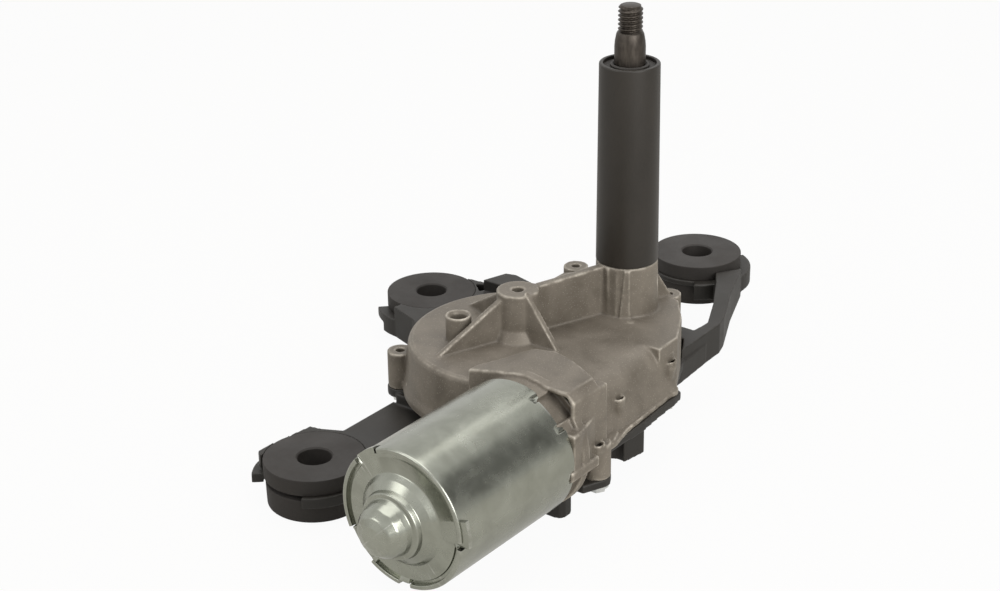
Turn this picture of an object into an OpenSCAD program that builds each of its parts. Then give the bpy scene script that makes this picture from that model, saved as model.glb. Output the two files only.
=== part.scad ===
// Tailgate wiper motor: geared electric motor with a long spindle, on a three-arm bracket.
// +Z runs up along the spindle. The origin is on the spindle's axis, level with the top of
// the sleeve, where the wiper arm's hub comes down to.

/* [Spindle and sleeve] */
// Diameter of the spindle
spindle_d = 10; // [9:0.5:12]
// Length of the plain end of the spindle above the sleeve
seat_len = 5.3; // [4:0.1:7]
// Length of the cone that takes the wiper arm
cone_len = 4.7; // [3:0.1:6]
// Diameter at the small end of the cone
cone_d = 8.6; // [8.2:0.1:8.9]
// Crest diameter of the thread for the arm's nut
thread_d = 7.8; // [7:0.1:8]
// Length of the threaded end
thread_len = 8.7; // [6:0.1:12]
// Length of the plastic sleeve
sleeve_len = 67.3; // [55:0.1:80]
// Outer diameter of the sleeve at its top
sleeve_top_d = 19.6; // [19:0.1:21]
// Outer diameter of the sleeve at its foot
sleeve_foot_d = 20.6; // [20:0.1:22]
// Wall of the sleeve
sleeve_wall = 1.3; // [1:0.1:1.6]

/* [Gear housing] */
// Height of the cast tower between the roof and the sleeve
tower_h = 17.5; // [14:0.1:22]
// Diameter of the tower's foot
tower_d = 21.4; // [21:0.1:24]
// Diameter of the tower where the sleeve starts
tower_top_d = 20.4; // [20:0.1:21]
// Height of the case from its joint face to its roof
case_h = 18.8; // [18.4:0.1:22]
// Wall of the casting
case_wall = 2.8; // [2:0.1:3.2]
// Outer radius of the dome at the roof
dome_r = 35.85; // [35:0.05:37]
// Extra radius of the dome at the joint face, its draft
dome_draft = 1.2; // [0.4:0.1:2]
// Distance from the spindle to the worm wheel
wheel_dist = 42.4; // [41.5:0.1:43]
// Direction from the spindle to the worm wheel
wheel_dir = 248.7; // [246:0.1:251]
// Height of the ribbed boss above the roof
boss_h = 16.2; // [10:0.1:20]
// Diameter of the ribbed boss
boss_d = 13.8; // [13:0.1:16]
// Outer diameter of the screw bosses
screw_boss_d = 8.6; // [8:0.1:9.5]

/* [Motor] */
// Distance from the worm wheel's axis to the motor's axis
worm_dist = 31.1; // [30.9:0.1:31.5]
// Height of the motor's axis above the joint face
worm_rise = 6.5; // [6.4:0.1:7.5]
// Outer radius of the motor can
can_r = 22; // [21.5:0.1:22.5]
// Length of the motor can
can_len = 54.2; // [53:0.1:62]
// Wall of the motor can
can_wall = 1.5; // [1.2:0.1:1.8]
// Distance from the spindle to the can's inner end, along the motor
can_start = 82.2; // [81.6:0.1:83.5]
// Radius of the armature core
core_r = 14.8; // [14:0.1:15]
// Length of the armature core
core_len = 30; // [26:0.5:32]
// Radius of the armature shaft
shaft_r = 4; // [3.8:0.1:4.2]

/* [Gears] */
// Number of teeth on the worm wheel
wheel_teeth = 52; // [52:1:52]
// Axial module of the worm, the same as the wheel's
worm_module = 1; // [0.98:0.01:1.02]
// Thickness of the worm wheel's rim
wheel_t = 7; // [6:0.1:7.2]
// Distance of the crank pin from the wheel's axis
crank_r = 6; // [5:0.1:6.5]
// Teeth on the pinion
pinion_teeth = 16; // [16:1:16]
// Teeth that the segment would have as a full gear
segment_teeth = 32; // [32:1:32]
// Module of the pinion and the segment
gear_module = 1; // [0.98:0.01:1]
// Distance from the segment's pivot to its crank eye
rod_len = 30; // [29.5:0.1:30.5]
// Thickness of the pinion and the segment
segment_t = 3.8; // [3:0.1:4]

/* [Bracket and grommets] */
// Outer radius of a grommet
grommet_r = 16; // [15:0.1:17]
// Height of a grommet
grommet_h = 15.2; // [14:0.1:17]
// Radius of a grommet's bore
grommet_bore_r = 5.45; // [5:0.05:6]
// Height of the groove in a grommet, and of the fork's plate in it
fork_t = 2; // [1.6:0.1:3]
// Width of the fork outside the grommet
fork_w = 4; // [3:0.1:5]
// Thickness of the bracket's plate
plate_t = 2.8; // [2.4:0.1:4]
// Height of the bracket's arms
arm_h = 12; // [9:0.1:14]
// How far the left and front grommets' tops lie below the joint face
low_drop = 4.7; // [3:0.1:6]
// How far the right grommet's top lies above the joint face
high_rise = 5.8; // [4:0.1:7]

/* [Fits] */
// Radial clearance of a running fit
run = 0.03; // [0.02:0.01:0.08]
// Gap between parts that move past each other
gap = 0.3; // [0.3:0.05:0.4]
// Backlash of the gear teeth, on each flank
backlash = 0.2; // [0.15:0.01:0.25]

/* [Hidden] */
$fn = 64;
eps = 0.01;

// Levels, from the top of the sleeve down
roof_z = -(sleeve_len + tower_h);
part_z = roof_z - case_h;
worm_z = part_z + worm_rise;
boss_z = roof_z + boss_h;
roof_in_z = roof_z - case_wall;

// Places in plan
wheel_x = wheel_dist * cos(wheel_dir);
wheel_y = wheel_dist * sin(wheel_dir);
worm_x = wheel_x + worm_dist;
can_in_y = -can_start;
can_out_y = can_in_y - can_len;

// Wheel train
wheel_pitch_r = wheel_teeth * worm_module / 2;
worm_pitch_r = worm_dist - wheel_pitch_r;
tooth_h = 0.9;
worm_r = worm_pitch_r + tooth_h * worm_module;
worm_root_r = worm_pitch_r - 1.2 * worm_module;
worm_core_r = 2.9;
worm_turns = 7;
worm_half = worm_turns * PI * worm_module / 2;
wheel_low_z = worm_z - wheel_t / 2;
wheel_top_z = worm_z + wheel_t / 2;
axle_r = 3;
crank_pin_r = 2;
crank_pin_proud = 1;
hub_r = 10;
tunnel_r = worm_r + 0.7;
tunnel_end_y = -22;

// Pinion, link and segment, on the cover side of the wheel
pinion_r = pinion_teeth * gear_module / 2;
segment_r = segment_teeth * gear_module / 2;
link_len = pinion_r + segment_r;
rest_reach = wheel_dist + crank_r;
link_angle = acos((link_len ^ 2 + rest_reach ^ 2 - rod_len ^ 2) / (2 * link_len * rest_reach));
link_dir = wheel_dir - link_angle;
rod_angle = acos((link_len ^ 2 + rod_len ^ 2 - rest_reach ^ 2) / (2 * link_len * rod_len));
rod_dir = link_dir + 180 - rod_angle;
pivot_x = link_len * cos(link_dir);
pivot_y = link_len * sin(link_dir);
segment_top_z = wheel_low_z - crank_pin_proud - gap;
segment_low_z = segment_top_z - segment_t;
link_t = 1.3;
link_top_z = segment_low_z - gap;
link_low_z = link_top_z - link_t;
clip_t = 0.5;
shaft_tail_r = 3;
relief = 0.4;
lip_r = spindle_d / 2 - relief + gap;
shaft_low_z = link_low_z - 2 * clip_t;
link_pin_r = 2.5;
tub_floor_z = shaft_low_z - 0.6;
tub_wall = 2.4;
spring_rows = [16.5, 20];

// Screws and their bosses: x, y, top of the boss, foot of the boss
screw_r = 2;
screw_head_r = 3.7;
screw_head_h = 2.2;
screw_reach = 5;
foot_z = part_z - 6.7;
screws = [[-47.5, -61, part_z + 12.7, part_z], [-33, 17.3, roof_z, part_z],
    [6, 16.5, roof_z, part_z], [32.2, -62.7, part_z + 5, foot_z],
    [25.8, -15, part_z + 1.6, part_z], [25.8, -45, part_z + 1.6, part_z]];

// The block that takes the can
block_left = worm_x - 19.5;
block_right = worm_x + 18.3;
block_top_z = worm_z + 20.6;
block_side_z = block_top_z - 2.8;
block_bevel = 2.6;
block_front_y = can_in_y + 4.6;
block_back_y = -56;
foot_back_y = -58.4;
pocket_depth = 6;
pocket_wall = 1.5;
seat_t = 3.6;
side_x = 27.8;
side_round = 8.2;
side_end_y = -22;
back_y = 15.5;
left_x = -33;

// Grommets: centre and top
grommet_low_z = part_z - low_drop;
grommet_high_z = part_z + high_rise;
left_grommet = [-94.5, 11.8, grommet_low_z];
front_grommet = [-43.6, -108.1, grommet_low_z];
right_grommet = [-22.2, 79.6, grommet_high_z];
cap_t = 5.3;
groove_r = 12;
fork_r = grommet_r + fork_w;
beam_top_z = part_z + 3.8;

// Connector shroud under the front lug
socket_h = 13.2;
socket_low_z = foot_z - socket_h;

// Recess of the end plate in the can's rim, where the rim is cut away, and the plate's ears:
// from and to in degrees about the motor, and the ear's radius
plate_in = 1;
plate_t_end = 1.2;
rim_cut = 2.4;
rim_cuts = [[-6, 20], [113, 139], [205, 237], [266, 277]];
plate_ears = [[-3, 17, 24.2], [116, 136, 22.3], [207, 235, 20.9]];

// Commutator end of the armature
commutator_r = 9;
core_y = can_out_y + 12 + core_len / 2;

// Space that the pinion, the link and the segment sweep
module linkage_plan(grow = 0) {
    polygon([[left_x + case_wall - grow, -24 - grow], [left_x + case_wall - grow, 4 + grow],
        [-24 - grow / 2, 11 + grow], [-6 + grow / 2, 11 + grow], [5 + grow / 2, 9.4 + grow],
        [10.4 + grow, 6 + grow / 2], [10.4 + grow, -6 - grow / 2], [2 + grow, -24 - grow]]);
    translate([wheel_x, wheel_y]) circle(r = 12.5 + grow);
    translate([wheel_x - 12.5 - grow, wheel_y]) square([25 + 2 * grow, 20]);
}

// Straight rib standing on the roof between two points in plan, with its height at each
module rib(from, to, top_from, top_to, foot_z, t) {
    run_len = norm(to - from);
    translate([from[0], from[1], 0])
        rotate([0, 0, atan2(to[1] - from[1], to[0] - from[0])])
        translate([0, t / 2, 0]) rotate([90, 0, 0]) linear_extrude(t)
        polygon([[0, foot_z], [run_len, foot_z], [run_len, top_to], [0, top_from]]);
}

// Cylinder along the motor's axis, from one y to another
module motor_tube(r, y_from, y_to) {
    translate([worm_x, y_from, worm_z]) rotate([90, 0, 0])
        translate([0, 0, y_from - y_to]) mirror([0, 0, 1]) cylinder(r = r, h = y_from - y_to);
}

// Solid of revolution about the motor's axis: points are [radius, y]
module motor_turned(points) {
    translate([worm_x, 0, worm_z]) rotate([-90, 0, 0]) rotate_extrude() polygon(points);
}

module dome() {
    translate([wheel_x, wheel_y, 0]) rotate_extrude()
        polygon([[0, part_z], [dome_r + dome_draft + 0.8, part_z],
            [dome_r + dome_draft + 0.8, part_z + 2.4], [dome_r + dome_draft, part_z + 4.8],
            [dome_r, roof_z - 1.6], [dome_r - 0.5, roof_z - 0.5], [dome_r - 1.6, roof_z],
            [0, roof_z]]);
}

// Prism along the motor, from one y down to another, with its outline in x and z
module along_y(y_from, y_to) {
    translate([0, y_from, 0]) rotate([90, 0, 0]) linear_extrude(y_from - y_to) children();
}

// Gear case beside the dome
module case_body() {
    translate([0, 0, part_z]) linear_extrude(case_h)
        polygon([[left_x, -20], [left_x, 9.5], [-27.5, back_y], [3, back_y], [12, 13.5],
            [20.3, 2.7], [27.3, -10.6], [side_x, side_end_y], [side_x - side_round, side_end_y],
            [side_x - side_round, -60], [5, -60], [-8, -40]]);
    // Side wall over the worm, rounded into the roof
    along_y(side_end_y + eps, -60) {
        polygon([[0, part_z], [side_x, part_z], [side_x, roof_z - side_round],
            [side_x - side_round, roof_z], [0, roof_z]]);
        translate([side_x - side_round, roof_z - side_round]) circle(r = side_round);
    }
    // Flared foot of the side wall, with the flange at the joint
    along_y(-13, -56)
        polygon([[side_x - 4, part_z], [side_x + 1.8, part_z], [side_x + 1.8, part_z + 1.6],
            [side_x, part_z + 7], [side_x - 4, part_z + 7]]);
    translate([0, 0, part_z]) linear_extrude(1.6)
        polygon([[22, -12], [27.6, -11.6], [29.4, -14.6], [31.7, -45.1], [34, -55], [34, -60],
            [22, -60]]);
}

// Block that the can is pushed onto
module block() {
    plateau = [[-6, block_front_y], [block_right - block_bevel, block_front_y],
        [block_right - block_bevel, -63.9], [24.7, -60.3], [18.1, -57.4], [11.8, -56],
        [5.4, -58], [2, -62], [-1, -68], [-5.4, -73]];
    along_y(block_back_y - 4, block_front_y)
        polygon([[block_left, part_z], [block_right, part_z],
            [block_right, block_side_z], [block_right - block_bevel, block_side_z],
            [block_left, block_side_z - 5]]);
    intersection() {
        translate([0, 0, roof_z - 4]) linear_extrude(block_top_z - roof_z + 4)
            polygon(plateau);
        along_y(block_back_y + 2, block_front_y - 1)
            polygon([[-8, roof_z - 5], [-8, block_top_z - 4.6], [-5.6, block_top_z - 2.7],
                [6, block_top_z], [block_right, block_top_z], [block_right, roof_z - 5]]);
    }
    along_y(-63.9, block_front_y)
        polygon([[block_right - 5, block_side_z - 6], [block_right, block_side_z - 6],
            [block_right, block_side_z], [block_right - block_bevel, block_top_z],
            [block_right - 5, block_top_z]]);
    // Round seat of the can, and the foot of the front screw
    motor_tube(can_r, block_front_y + seat_t, block_front_y);
    translate([0, 0, foot_z]) linear_extrude(part_z - foot_z + 1)
        polygon([[4, foot_back_y], [block_right, foot_back_y], [block_right, -64], [30, -66],
            [30, block_front_y + 1], [4, block_front_y + 1]]);
    translate([0, 0, part_z]) linear_extrude(2.8)
        polygon([[10, -50], [31.7, -50], [block_right, -56], [block_right, -62], [10, -62]]);
    // Bulge between the block and the dome
    translate([0, 0, part_z]) linear_extrude(case_h - 3)
        polygon([[-14, -68], [-11, -70.5], [block_left + 1, block_front_y + 1],
            [4, block_front_y + 1], [4, -60], [-10, -60]]);
}

module tower() {
    translate([0, 0, roof_z - eps])
        cylinder(d1 = tower_d, d2 = tower_top_d, h = tower_h + eps);
    translate([0, 0, -sleeve_len - eps])
        cylinder(d = sleeve_top_d - 2 * sleeve_wall - 0.4, h = sleeve_len - 3.8 + eps);
    translate([0, 0, part_z + 2.6]) cylinder(r = 9.4, h = case_h - 4);
}

module ribbed_boss() {
    translate([wheel_x, wheel_y, 0]) {
        translate([0, 0, roof_z - eps]) cylinder(d = boss_d, h = boss_h + eps);
        translate([0, 0, roof_z - eps]) cylinder(d1 = boss_d + 4, d2 = boss_d, h = 4);
    }
}

module roof_ribs() {
    wheel_pos = [wheel_x, wheel_y];
    away = [cos(wheel_dir), sin(wheel_dir)];
    near = 5;
    // Web from the tower to the boss, and the long rib on the far side of the boss
    rib([0, 0], wheel_pos, -sleeve_len, boss_z - 0.6, roof_z - eps, 3);
    rib(wheel_pos + near * away, wheel_pos + 30.5 * away, boss_z - 0.8, roof_z + 0.2,
        roof_z - 1, 2.2);
    // Right rib and back-left rib
    rib([wheel_x + near, wheel_y - 2.4], [2.8, wheel_y - 2.2], boss_z + 1.6, roof_z - 0.5,
        roof_z - 1, 2.2);
    rib(wheel_pos + near * [-0.94, 0.34], [-43.5, -29.5], boss_z - 1.5, roof_z - 0.5,
        roof_z - 1, 2.2);
    // Rib behind the tower, down to the back right boss
    rib([2, 7], [6, 17], -sleeve_len - 0.5, roof_z - 0.5, roof_z - 1, 4);
    // Narrow rib and the step beside it, up the front of the tower
    rotate([0, 0, -78]) translate([tower_d / 2 - 1.4, -0.7, roof_z - eps])
        cube([1.8, 1.4, tower_h - 0.4]);
    rotate([0, 0, -104]) translate([tower_d / 2 - 2, -2.6, roof_z - eps])
        cube([1.9, 5.2, tower_h - 0.4]);
}

module screw_bosses() {
    for (s = screws)
        translate([s[0], s[1], s[3]]) cylinder(d = screw_boss_d, h = s[2] - s[3]);
    // Webs that tie the free bosses to the case
    rib([-46.5, -60.3], [wheel_x, wheel_y], part_z + 10, part_z + 10, part_z, 5);
    rib([-33, 17.3], [-26, 6], roof_z - 3, roof_z - 3, part_z, 7);
    rib([6, 16.5], [6, 8], roof_z - 2, roof_z - 2, part_z, 7);
}

// Hollow of the gear case, with the bosses that stay standing in it
module gear_chamber() {
    difference() {
        translate([0, 0, part_z - 1]) {
            translate([wheel_x, wheel_y, 0])
                cylinder(r = wheel_pitch_r + tooth_h + 1.2, h = roof_in_z - part_z + 1);
            linear_extrude(roof_in_z - part_z + 1) linkage_plan();
            intersection() {
                translate([wheel_x, wheel_y, 0])
                    cylinder(r = dome_r - case_wall, h = roof_in_z - part_z + 1);
                translate([-60, -90, 0]) cube([64, 90, 40]);
            }
        }
        translate([0, 0, part_z + 2.6]) cylinder(r = 9.4, h = case_h);
        translate([wheel_x, wheel_y, roof_in_z - 4.9]) cylinder(r = 7, h = 5);
    }
}

module gear_housing() {
    color([0.52, 0.49, 0.45]) difference() {
        union() {
            dome();
            case_body();
            block();
            tower();
            ribbed_boss();
            roof_ribs();
            screw_bosses();
            // Spigot that the can's rim fits over, with the lug that stops it turning
            motor_tube(can_r - can_wall - 0.02, block_front_y + eps, can_in_y - 3);
            translate([block_right - 1, can_in_y - 1.8, worm_z - 4.7])
                cube([5.2, 14, 3.3]);
            // Spout on the roof for the vent
            translate([-28.7, -53.7, roof_z - eps]) cylinder(r = 4.2, h = 9);
        }
        gear_chamber();
        // Worm tunnel, bearing seat and brush chamber
        motor_tube(tunnel_r, tunnel_end_y, block_front_y - 2);
        motor_tube(8, can_in_y + 20.7, can_in_y);
        motor_tube(12, can_in_y + 12.7, can_in_y);
        motor_tube(17.5, can_in_y + 5.3, can_in_y - 4);
        // Spindle bore
        translate([0, 0, part_z - 1]) cylinder(r = spindle_d / 2 + 1.5, h = -part_z + 1);
        // Axle bore and the core hole above it
        translate([wheel_x, wheel_y, part_z]) cylinder(r = axle_r, h = boss_z - 4 - part_z);
        translate([wheel_x, wheel_y, part_z]) cylinder(r = 1.9, h = boss_z - part_z + 1);
        // Screw holes
        for (s = screws) {
            translate([s[0], s[1], s[3] - 1]) cylinder(r = screw_r, h = screw_reach + 1);
            translate([s[0], s[1], s[3] - 1]) cylinder(r = 1.5, h = s[2] - s[3] + 2);
        }
        translate([-28.7, -53.7, roof_z - 5]) cylinder(r = 2.6, h = 16);
        translate([-28.7, -53.7, roof_z + 8]) cylinder(r1 = 2.6, r2 = 3.6, h = 1.01);
        // Drain slots in the side wall: x, y, height above the joint, half their length
        for (slot = [[side_x, -16.2, 13.4, 1], [side_x, -42.3, 10.6, 2.4],
            [block_right, -66, 7, 2.4]])
            translate([slot[0] - 3, slot[1], part_z + slot[2]]) {
                for (end = [-slot[3], slot[3]]) translate([0, end, 0]) rotate([0, 90, 0])
                    cylinder(r = 1.1, h = 8);
                translate([0, -slot[3], -1.1]) cube([8, 2 * slot[3], 2.2]);
            }
        // Pocket in the block's front, between the can's spigot and the side wall
        along_y(block_front_y + pocket_depth, block_front_y - 1) difference() {
            polygon([[worm_x + 7, block_top_z - pocket_wall],
                [block_right - block_bevel, block_top_z - pocket_wall],
                [block_right - pocket_wall, block_side_z - 0.8],
                [block_right - pocket_wall, worm_z + 7], [worm_x + 7, worm_z + 7]]);
            translate([worm_x, worm_z]) circle(r = can_r - can_wall + 0.1);
        }
    }
}

module shaft_sleeve() {
    color([0.13, 0.125, 0.12]) translate([0, 0, -sleeve_len]) rotate_extrude()
        polygon([[sleeve_foot_d / 2 - sleeve_wall - 0.4, 0], [sleeve_foot_d / 2, 0],
            [sleeve_top_d / 2, sleeve_len - 0.8], [sleeve_top_d / 2 - 0.3, sleeve_len - 0.2],
            [sleeve_top_d / 2 - 0.9, sleeve_len], [sleeve_top_d / 2 - sleeve_wall, sleeve_len],
            [sleeve_top_d / 2 - sleeve_wall, sleeve_len - 5]]);
}

module bush(top, len) {
    translate([0, 0, top - len]) difference() {
        cylinder(r = spindle_d / 2 + 1.5, h = len);
        translate([0, 0, -eps]) cylinder(r = spindle_d / 2 + run, h = len + 2 * eps);
    }
}

module upper_bush() {
    color([0.55, 0.42, 0.25]) bush(-5.5, 14);
}

module lower_bush() {
    color([0.55, 0.42, 0.25]) bush(part_z + 2.6 + 14, 14);
}

module shaft_seal() {
    color([0.07, 0.07, 0.07]) translate([0, 0, -3.8]) rotate_extrude()
        polygon([[spindle_d / 2 + 2.6, 0], [sleeve_top_d / 2 - sleeve_wall, 0],
            [sleeve_top_d / 2 - sleeve_wall, 2.6], [spindle_d / 2 + 1.2, 2.6],
            [lip_r, 2.9], [lip_r, 2.2], [spindle_d / 2 + 2.6, 1.6]]);
}

// Rubber grommet, seen from its top face at z = 0 downwards
module grommet() {
    rotate_extrude() polygon([[grommet_bore_r, -grommet_h], [grommet_r - 0.9, -grommet_h],
        [grommet_r - 0.3, -grommet_h + 0.6], [grommet_r - 0.3, -cap_t - fork_t],
        [groove_r, -cap_t - fork_t], [groove_r, -cap_t], [grommet_r, -cap_t],
        [grommet_r, -0.4], [grommet_r - 0.4, 0], [grommet_bore_r, 0]]);
}

module grommet_left() {
    color([0.12, 0.118, 0.11]) translate(left_grommet) grommet();
}

module grommet_front() {
    color([0.12, 0.118, 0.11]) translate(front_grommet) grommet();
}

module grommet_right() {
    color([0.12, 0.118, 0.11]) translate(right_grommet) grommet();
}

// Sector of a disc between two angles and two heights
module sector(r, from, to, low, top) {
    edge = 2 * r;
    translate([0, 0, low]) linear_extrude(top - low) intersection() {
        circle(r = r);
        polygon(concat([[0, 0]], [for (k = [0:6]) let (a = from + k * (to - from) / 6)
            [edge * cos(a), edge * sin(a)]]));
    }
}

// Fork round a grommet: its plate in the groove and the thicker rim outside it
module fork(from, to, rim_from, rim_to, rim_low) {
    sector(grommet_r + 1, from, to, -cap_t - fork_t, -cap_t);
    sector(fork_r, rim_from, rim_to, rim_low, -cap_t);
}

module arm(points, low, top) {
    translate([0, 0, low]) linear_extrude(top - low) polygon(points);
}

module mounting_bracket() {
    plate_low = part_z - plate_t;
    low_arm_z = grommet_low_z - arm_h;
    color([0.11, 0.108, 0.1]) difference() {
        union() {
            // Plate that closes the gear case, with its screw lugs
            arm([[left_x - 4, -52], [left_x - 4, 10], [left_x + 2, 20], [12, 20], [18, 8],
                [26, -9.6], [29.6, -11.4], [30.4, -16], [31, -26], [32, -36], [31.8, -56],
                [20, -58], [0, -68], [-34, -66]], plate_low, part_z);
            translate([wheel_x, wheel_y, plate_low]) cylinder(r = dome_r - 1, h = plate_t);
            for (s = [screws[0], screws[1], screws[2]])
                translate([s[0], s[1], plate_low]) cylinder(d = screw_boss_d + 0.6, h = plate_t);
            rib([-47.5, -61], [-34, -52], part_z, part_z, plate_low, 9);
            // Tub under the linkage
            translate([0, 0, tub_floor_z - tub_wall])
                linear_extrude(part_z - tub_floor_z + tub_wall) linkage_plan(tub_wall);
            // Beam behind the case and the arm to the right grommet
            arm([[-40, back_y + 0.6], [-40, 24], [12, 24], [12.4, 32], [5.5, 46.7],
                [-3.5, 63], [-8, 70], [-2.4, 79], [6, 57.9], [14.9, 38.9], [16.6, 33.4],
                [17.3, 8], [12.8, back_y + 0.6]], part_z - 7.7, beam_top_z);
            arm([[-40, 10], [-40, 24], [17, 24], [18.6, 3.6], [17, 3]],
                part_z - 7.7, part_z - 0.2);
            // Arm to the left grommet, with the ribs along its back edge
            arm([[-96, -8], [-84, -12], [-50, -32], [-40, -50], [-30, -30], [-30, 12],
                [-40, 18], [-70, 29], [-80, 29], [-90, 28]], low_arm_z, grommet_low_z);
            arm([[-50, -30], [-30, -50], [-28, 12], [-38, 20], [-50, 18]],
                low_arm_z + 3, part_z - 1);
            arm([[-78, 22], [-75, 31.6], [-71, 32.7], [-38, 24], [-38, 16], [-66, 22]],
                low_arm_z + 4, part_z);
            // Arm to the front grommet
            arm([[-47.5, -50], [-47.5, -90], [-54.5, -93.4], [-58.2, -94.2], [-60.4, -112],
                [-60.4, -116], [-58, -117.6], [-54, -108], [-30, -100], [-26, -96],
                [-24, -60]], low_arm_z + 3, grommet_low_z);
            arm([[-46, -44], [-46, -66], [-24, -66], [-24, -50]], low_arm_z + 3, part_z - 1);
            translate(left_grommet) fork(-133, 150, -135, 110, -cap_t - 3.2);
            translate(left_grommet) sector(fork_r, -115, 60, -arm_h, -cap_t - eps);
            translate(front_grommet) fork(-62, 220, 90, 222, -cap_t - 3.2);
            translate(front_grommet) sector(grommet_r + 1.6, -62, 90, -arm_h + 3, -cap_t - eps);
            translate(right_grommet) fork(-222, 60, -60, 62, -cap_t - 6.2);
            // Front lug under the block, stepping up to the plate
            arm([[10, -58.6], [34.7, -58.6], [36.3, -61.5], [36.2, -63.5], [34.8, -66.9],
                [33, -71.2], [28.9, -71.2], [26, -73.4], [10, -73.4]],
                foot_z - plate_t, foot_z);
            arm([[10, -55], [10, -58.2], [31, -58.2], [31, -55]], foot_z - plate_t, part_z);
            arm([[10, -54.6], [10, -60], [31, -60], [31, -54.6]], foot_z - plate_t, foot_z);
            // Connector shroud, and the vent chamber beside it
            arm([[4, -60], [4, -72], [5.6, -73.6], [23.4, -73.6], [25.4, -73], [26.4, -71.2],
                [26.2, -68], [23.4, -64.2], [20, -60]], socket_low_z, foot_z);
            arm([[14, -34], [14, -50], [25, -50], [28, -40], [29.2, -32], [24, -28]],
                part_z - 13.5, part_z);
        }
        // Room for the grommets
        for (g = [left_grommet, front_grommet, right_grommet]) translate(g) {
            translate([0, 0, -cap_t]) cylinder(r = grommet_r + gap, h = cap_t + 8);
            translate([0, 0, -grommet_h - 3])
                cylinder(r = grommet_r + gap, h = grommet_h + 3 - cap_t - fork_t);
            translate([0, 0, -grommet_h]) cylinder(r = groove_r, h = grommet_h);
        }
        // Linkage space, can and its seat
        translate([0, 0, tub_floor_z]) linear_extrude(case_h) linkage_plan();
        motor_tube(can_r + gap, block_front_y + seat_t + gap, can_out_y);
        translate([4 - gap, block_front_y - gap, foot_z])
            cube([block_right - 4 + 2 * gap, foot_back_y - block_front_y + 2 * gap, 30]);
        motor_tube(tunnel_r, tunnel_end_y, block_back_y);
        // Screw holes
        for (s = screws)
            translate([s[0], s[1], s[3] - 20]) cylinder(r = screw_r + 0.25, h = 30);
        // Way in for the screwdriver, and room for the housing's bosses
        for (s = screws) {
            translate([s[0], s[1], s[3] - plate_t - 30])
                cylinder(r = screw_head_r + 0.5, h = 30);
            translate([s[0], s[1], s[3]]) cylinder(d = screw_boss_d + 2 * gap, h = 20);
        }
        // Slots that the contact springs stand in
        for (r = spring_rows) spring_place(r) translate([-0.8, 0, part_z - plate_t - 1])
            cube([1.6, 4, plate_t + 2]);
        // Pocket beside the left arm's back rib
        translate([0, 0, low_arm_z + 6]) linear_extrude(30)
            polygon([[-84.6, 25.6], [-79, 28.6], [-77.4, 27], [-79.4, 21.4]]);
        // Connector socket, open downwards
        translate([6.6, -71.8, socket_low_z - 1]) cube([13.9, 8.6, socket_h - 2]);
    }
}

module bracket_screws() {
    color([0.74, 0.75, 0.74]) for (s = screws) translate([s[0], s[1], s[3] - plate_t]) {
        rotate_extrude() polygon([[0, -screw_head_h], [1.8, -screw_head_h], [2.9, -1.9],
            [3.5, -1.3], [screw_head_r, -0.5], [screw_head_r, 0], [0, 0]]);
        translate([0, 0, -eps]) cylinder(r = screw_r, h = plate_t + screw_reach);
    }
}

module wheel_axle() {
    color([0.68, 0.68, 0.68]) translate([wheel_x, wheel_y, wheel_low_z])
        cylinder(r = axle_r, h = boss_z - 6 - wheel_low_z);
}

module wheel_washer() {
    color([0.7, 0.7, 0.68]) translate([wheel_x, wheel_y, wheel_top_z + gap]) difference() {
        cylinder(r = 6.5, h = roof_in_z - 4.9 - wheel_top_z - gap);
        translate([0, 0, -1]) cylinder(r = axle_r + run, h = 8);
    }
}

// Wheel with tilted teeth: one gap faces the worm
module worm_wheel() {
    lead = atan(worm_module / 2 / worm_pitch_r);
    root_r = wheel_pitch_r - 1.1 * worm_module;
    half_tip = 0.42 - backlash / 2;
    half_root = 1.05 - backlash / 2;
    color([0.82, 0.80, 0.72]) translate([wheel_x, wheel_y, 0]) difference() {
        union() {
            translate([0, 0, wheel_low_z]) cylinder(r = root_r, h = wheel_t);
            for (k = [0:wheel_teeth - 1])
                rotate([0, 0, (k + 0.5) * 360 / wheel_teeth])
                    translate([0, 0, worm_z]) rotate([lead, 0, 0])
                    translate([0, 0, -wheel_t / 2 - 0.02]) linear_extrude(wheel_t + 0.04)
                    polygon([[root_r - 0.5, -half_root], [wheel_pitch_r + tooth_h, -half_tip],
                        [wheel_pitch_r + tooth_h, half_tip], [root_r - 0.5, half_root]]);
        }
        // Recesses either side of the web, and the trimmed tooth ends
        for (z = [wheel_low_z - 2, wheel_top_z - 1.6]) translate([0, 0, z]) difference() {
            cylinder(r = root_r - 2.6, h = 3.6);
            translate([0, 0, -1]) cylinder(r = hub_r, h = 6);
        }
        for (z = [wheel_low_z - 1, wheel_top_z]) translate([0, 0, z])
            cylinder(r = wheel_pitch_r + 3, h = 1);
        translate([0, 0, wheel_low_z - 1]) cylinder(r = axle_r + run, h = wheel_t + 2);
        rotate([0, 0, wheel_dir]) translate([crank_r, 0, wheel_low_z - 1])
            cylinder(r = crank_pin_r, h = 5);
    }
}

module crank_pin() {
    color([0.68, 0.68, 0.68]) translate([wheel_x, wheel_y, 0]) rotate([0, 0, wheel_dir])
        translate([crank_r, 0, wheel_low_z - crank_pin_proud])
        cylinder(r = crank_pin_r, h = crank_pin_proud + 4);
}

// Copper disc under the wheel that tells the motor where to park
module contact_disc() {
    color([0.72, 0.45, 0.25]) translate([wheel_x, wheel_y, wheel_low_z + 1.2])
        difference() {
            cylinder(r = 21.5, h = 0.4);
            translate([0, 0, -1]) cylinder(r = 14.5, h = 3);
            rotate([0, 0, wheel_dir]) translate([19, 0, -1]) cylinder(r = 2, h = 3);
        }
}

// Place of a contact spring at a radius under the wheel
module spring_place(r) {
    translate([wheel_x, wheel_y, 0]) rotate([0, 0, -75]) translate([r, 0, 0]) children();
}

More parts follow.
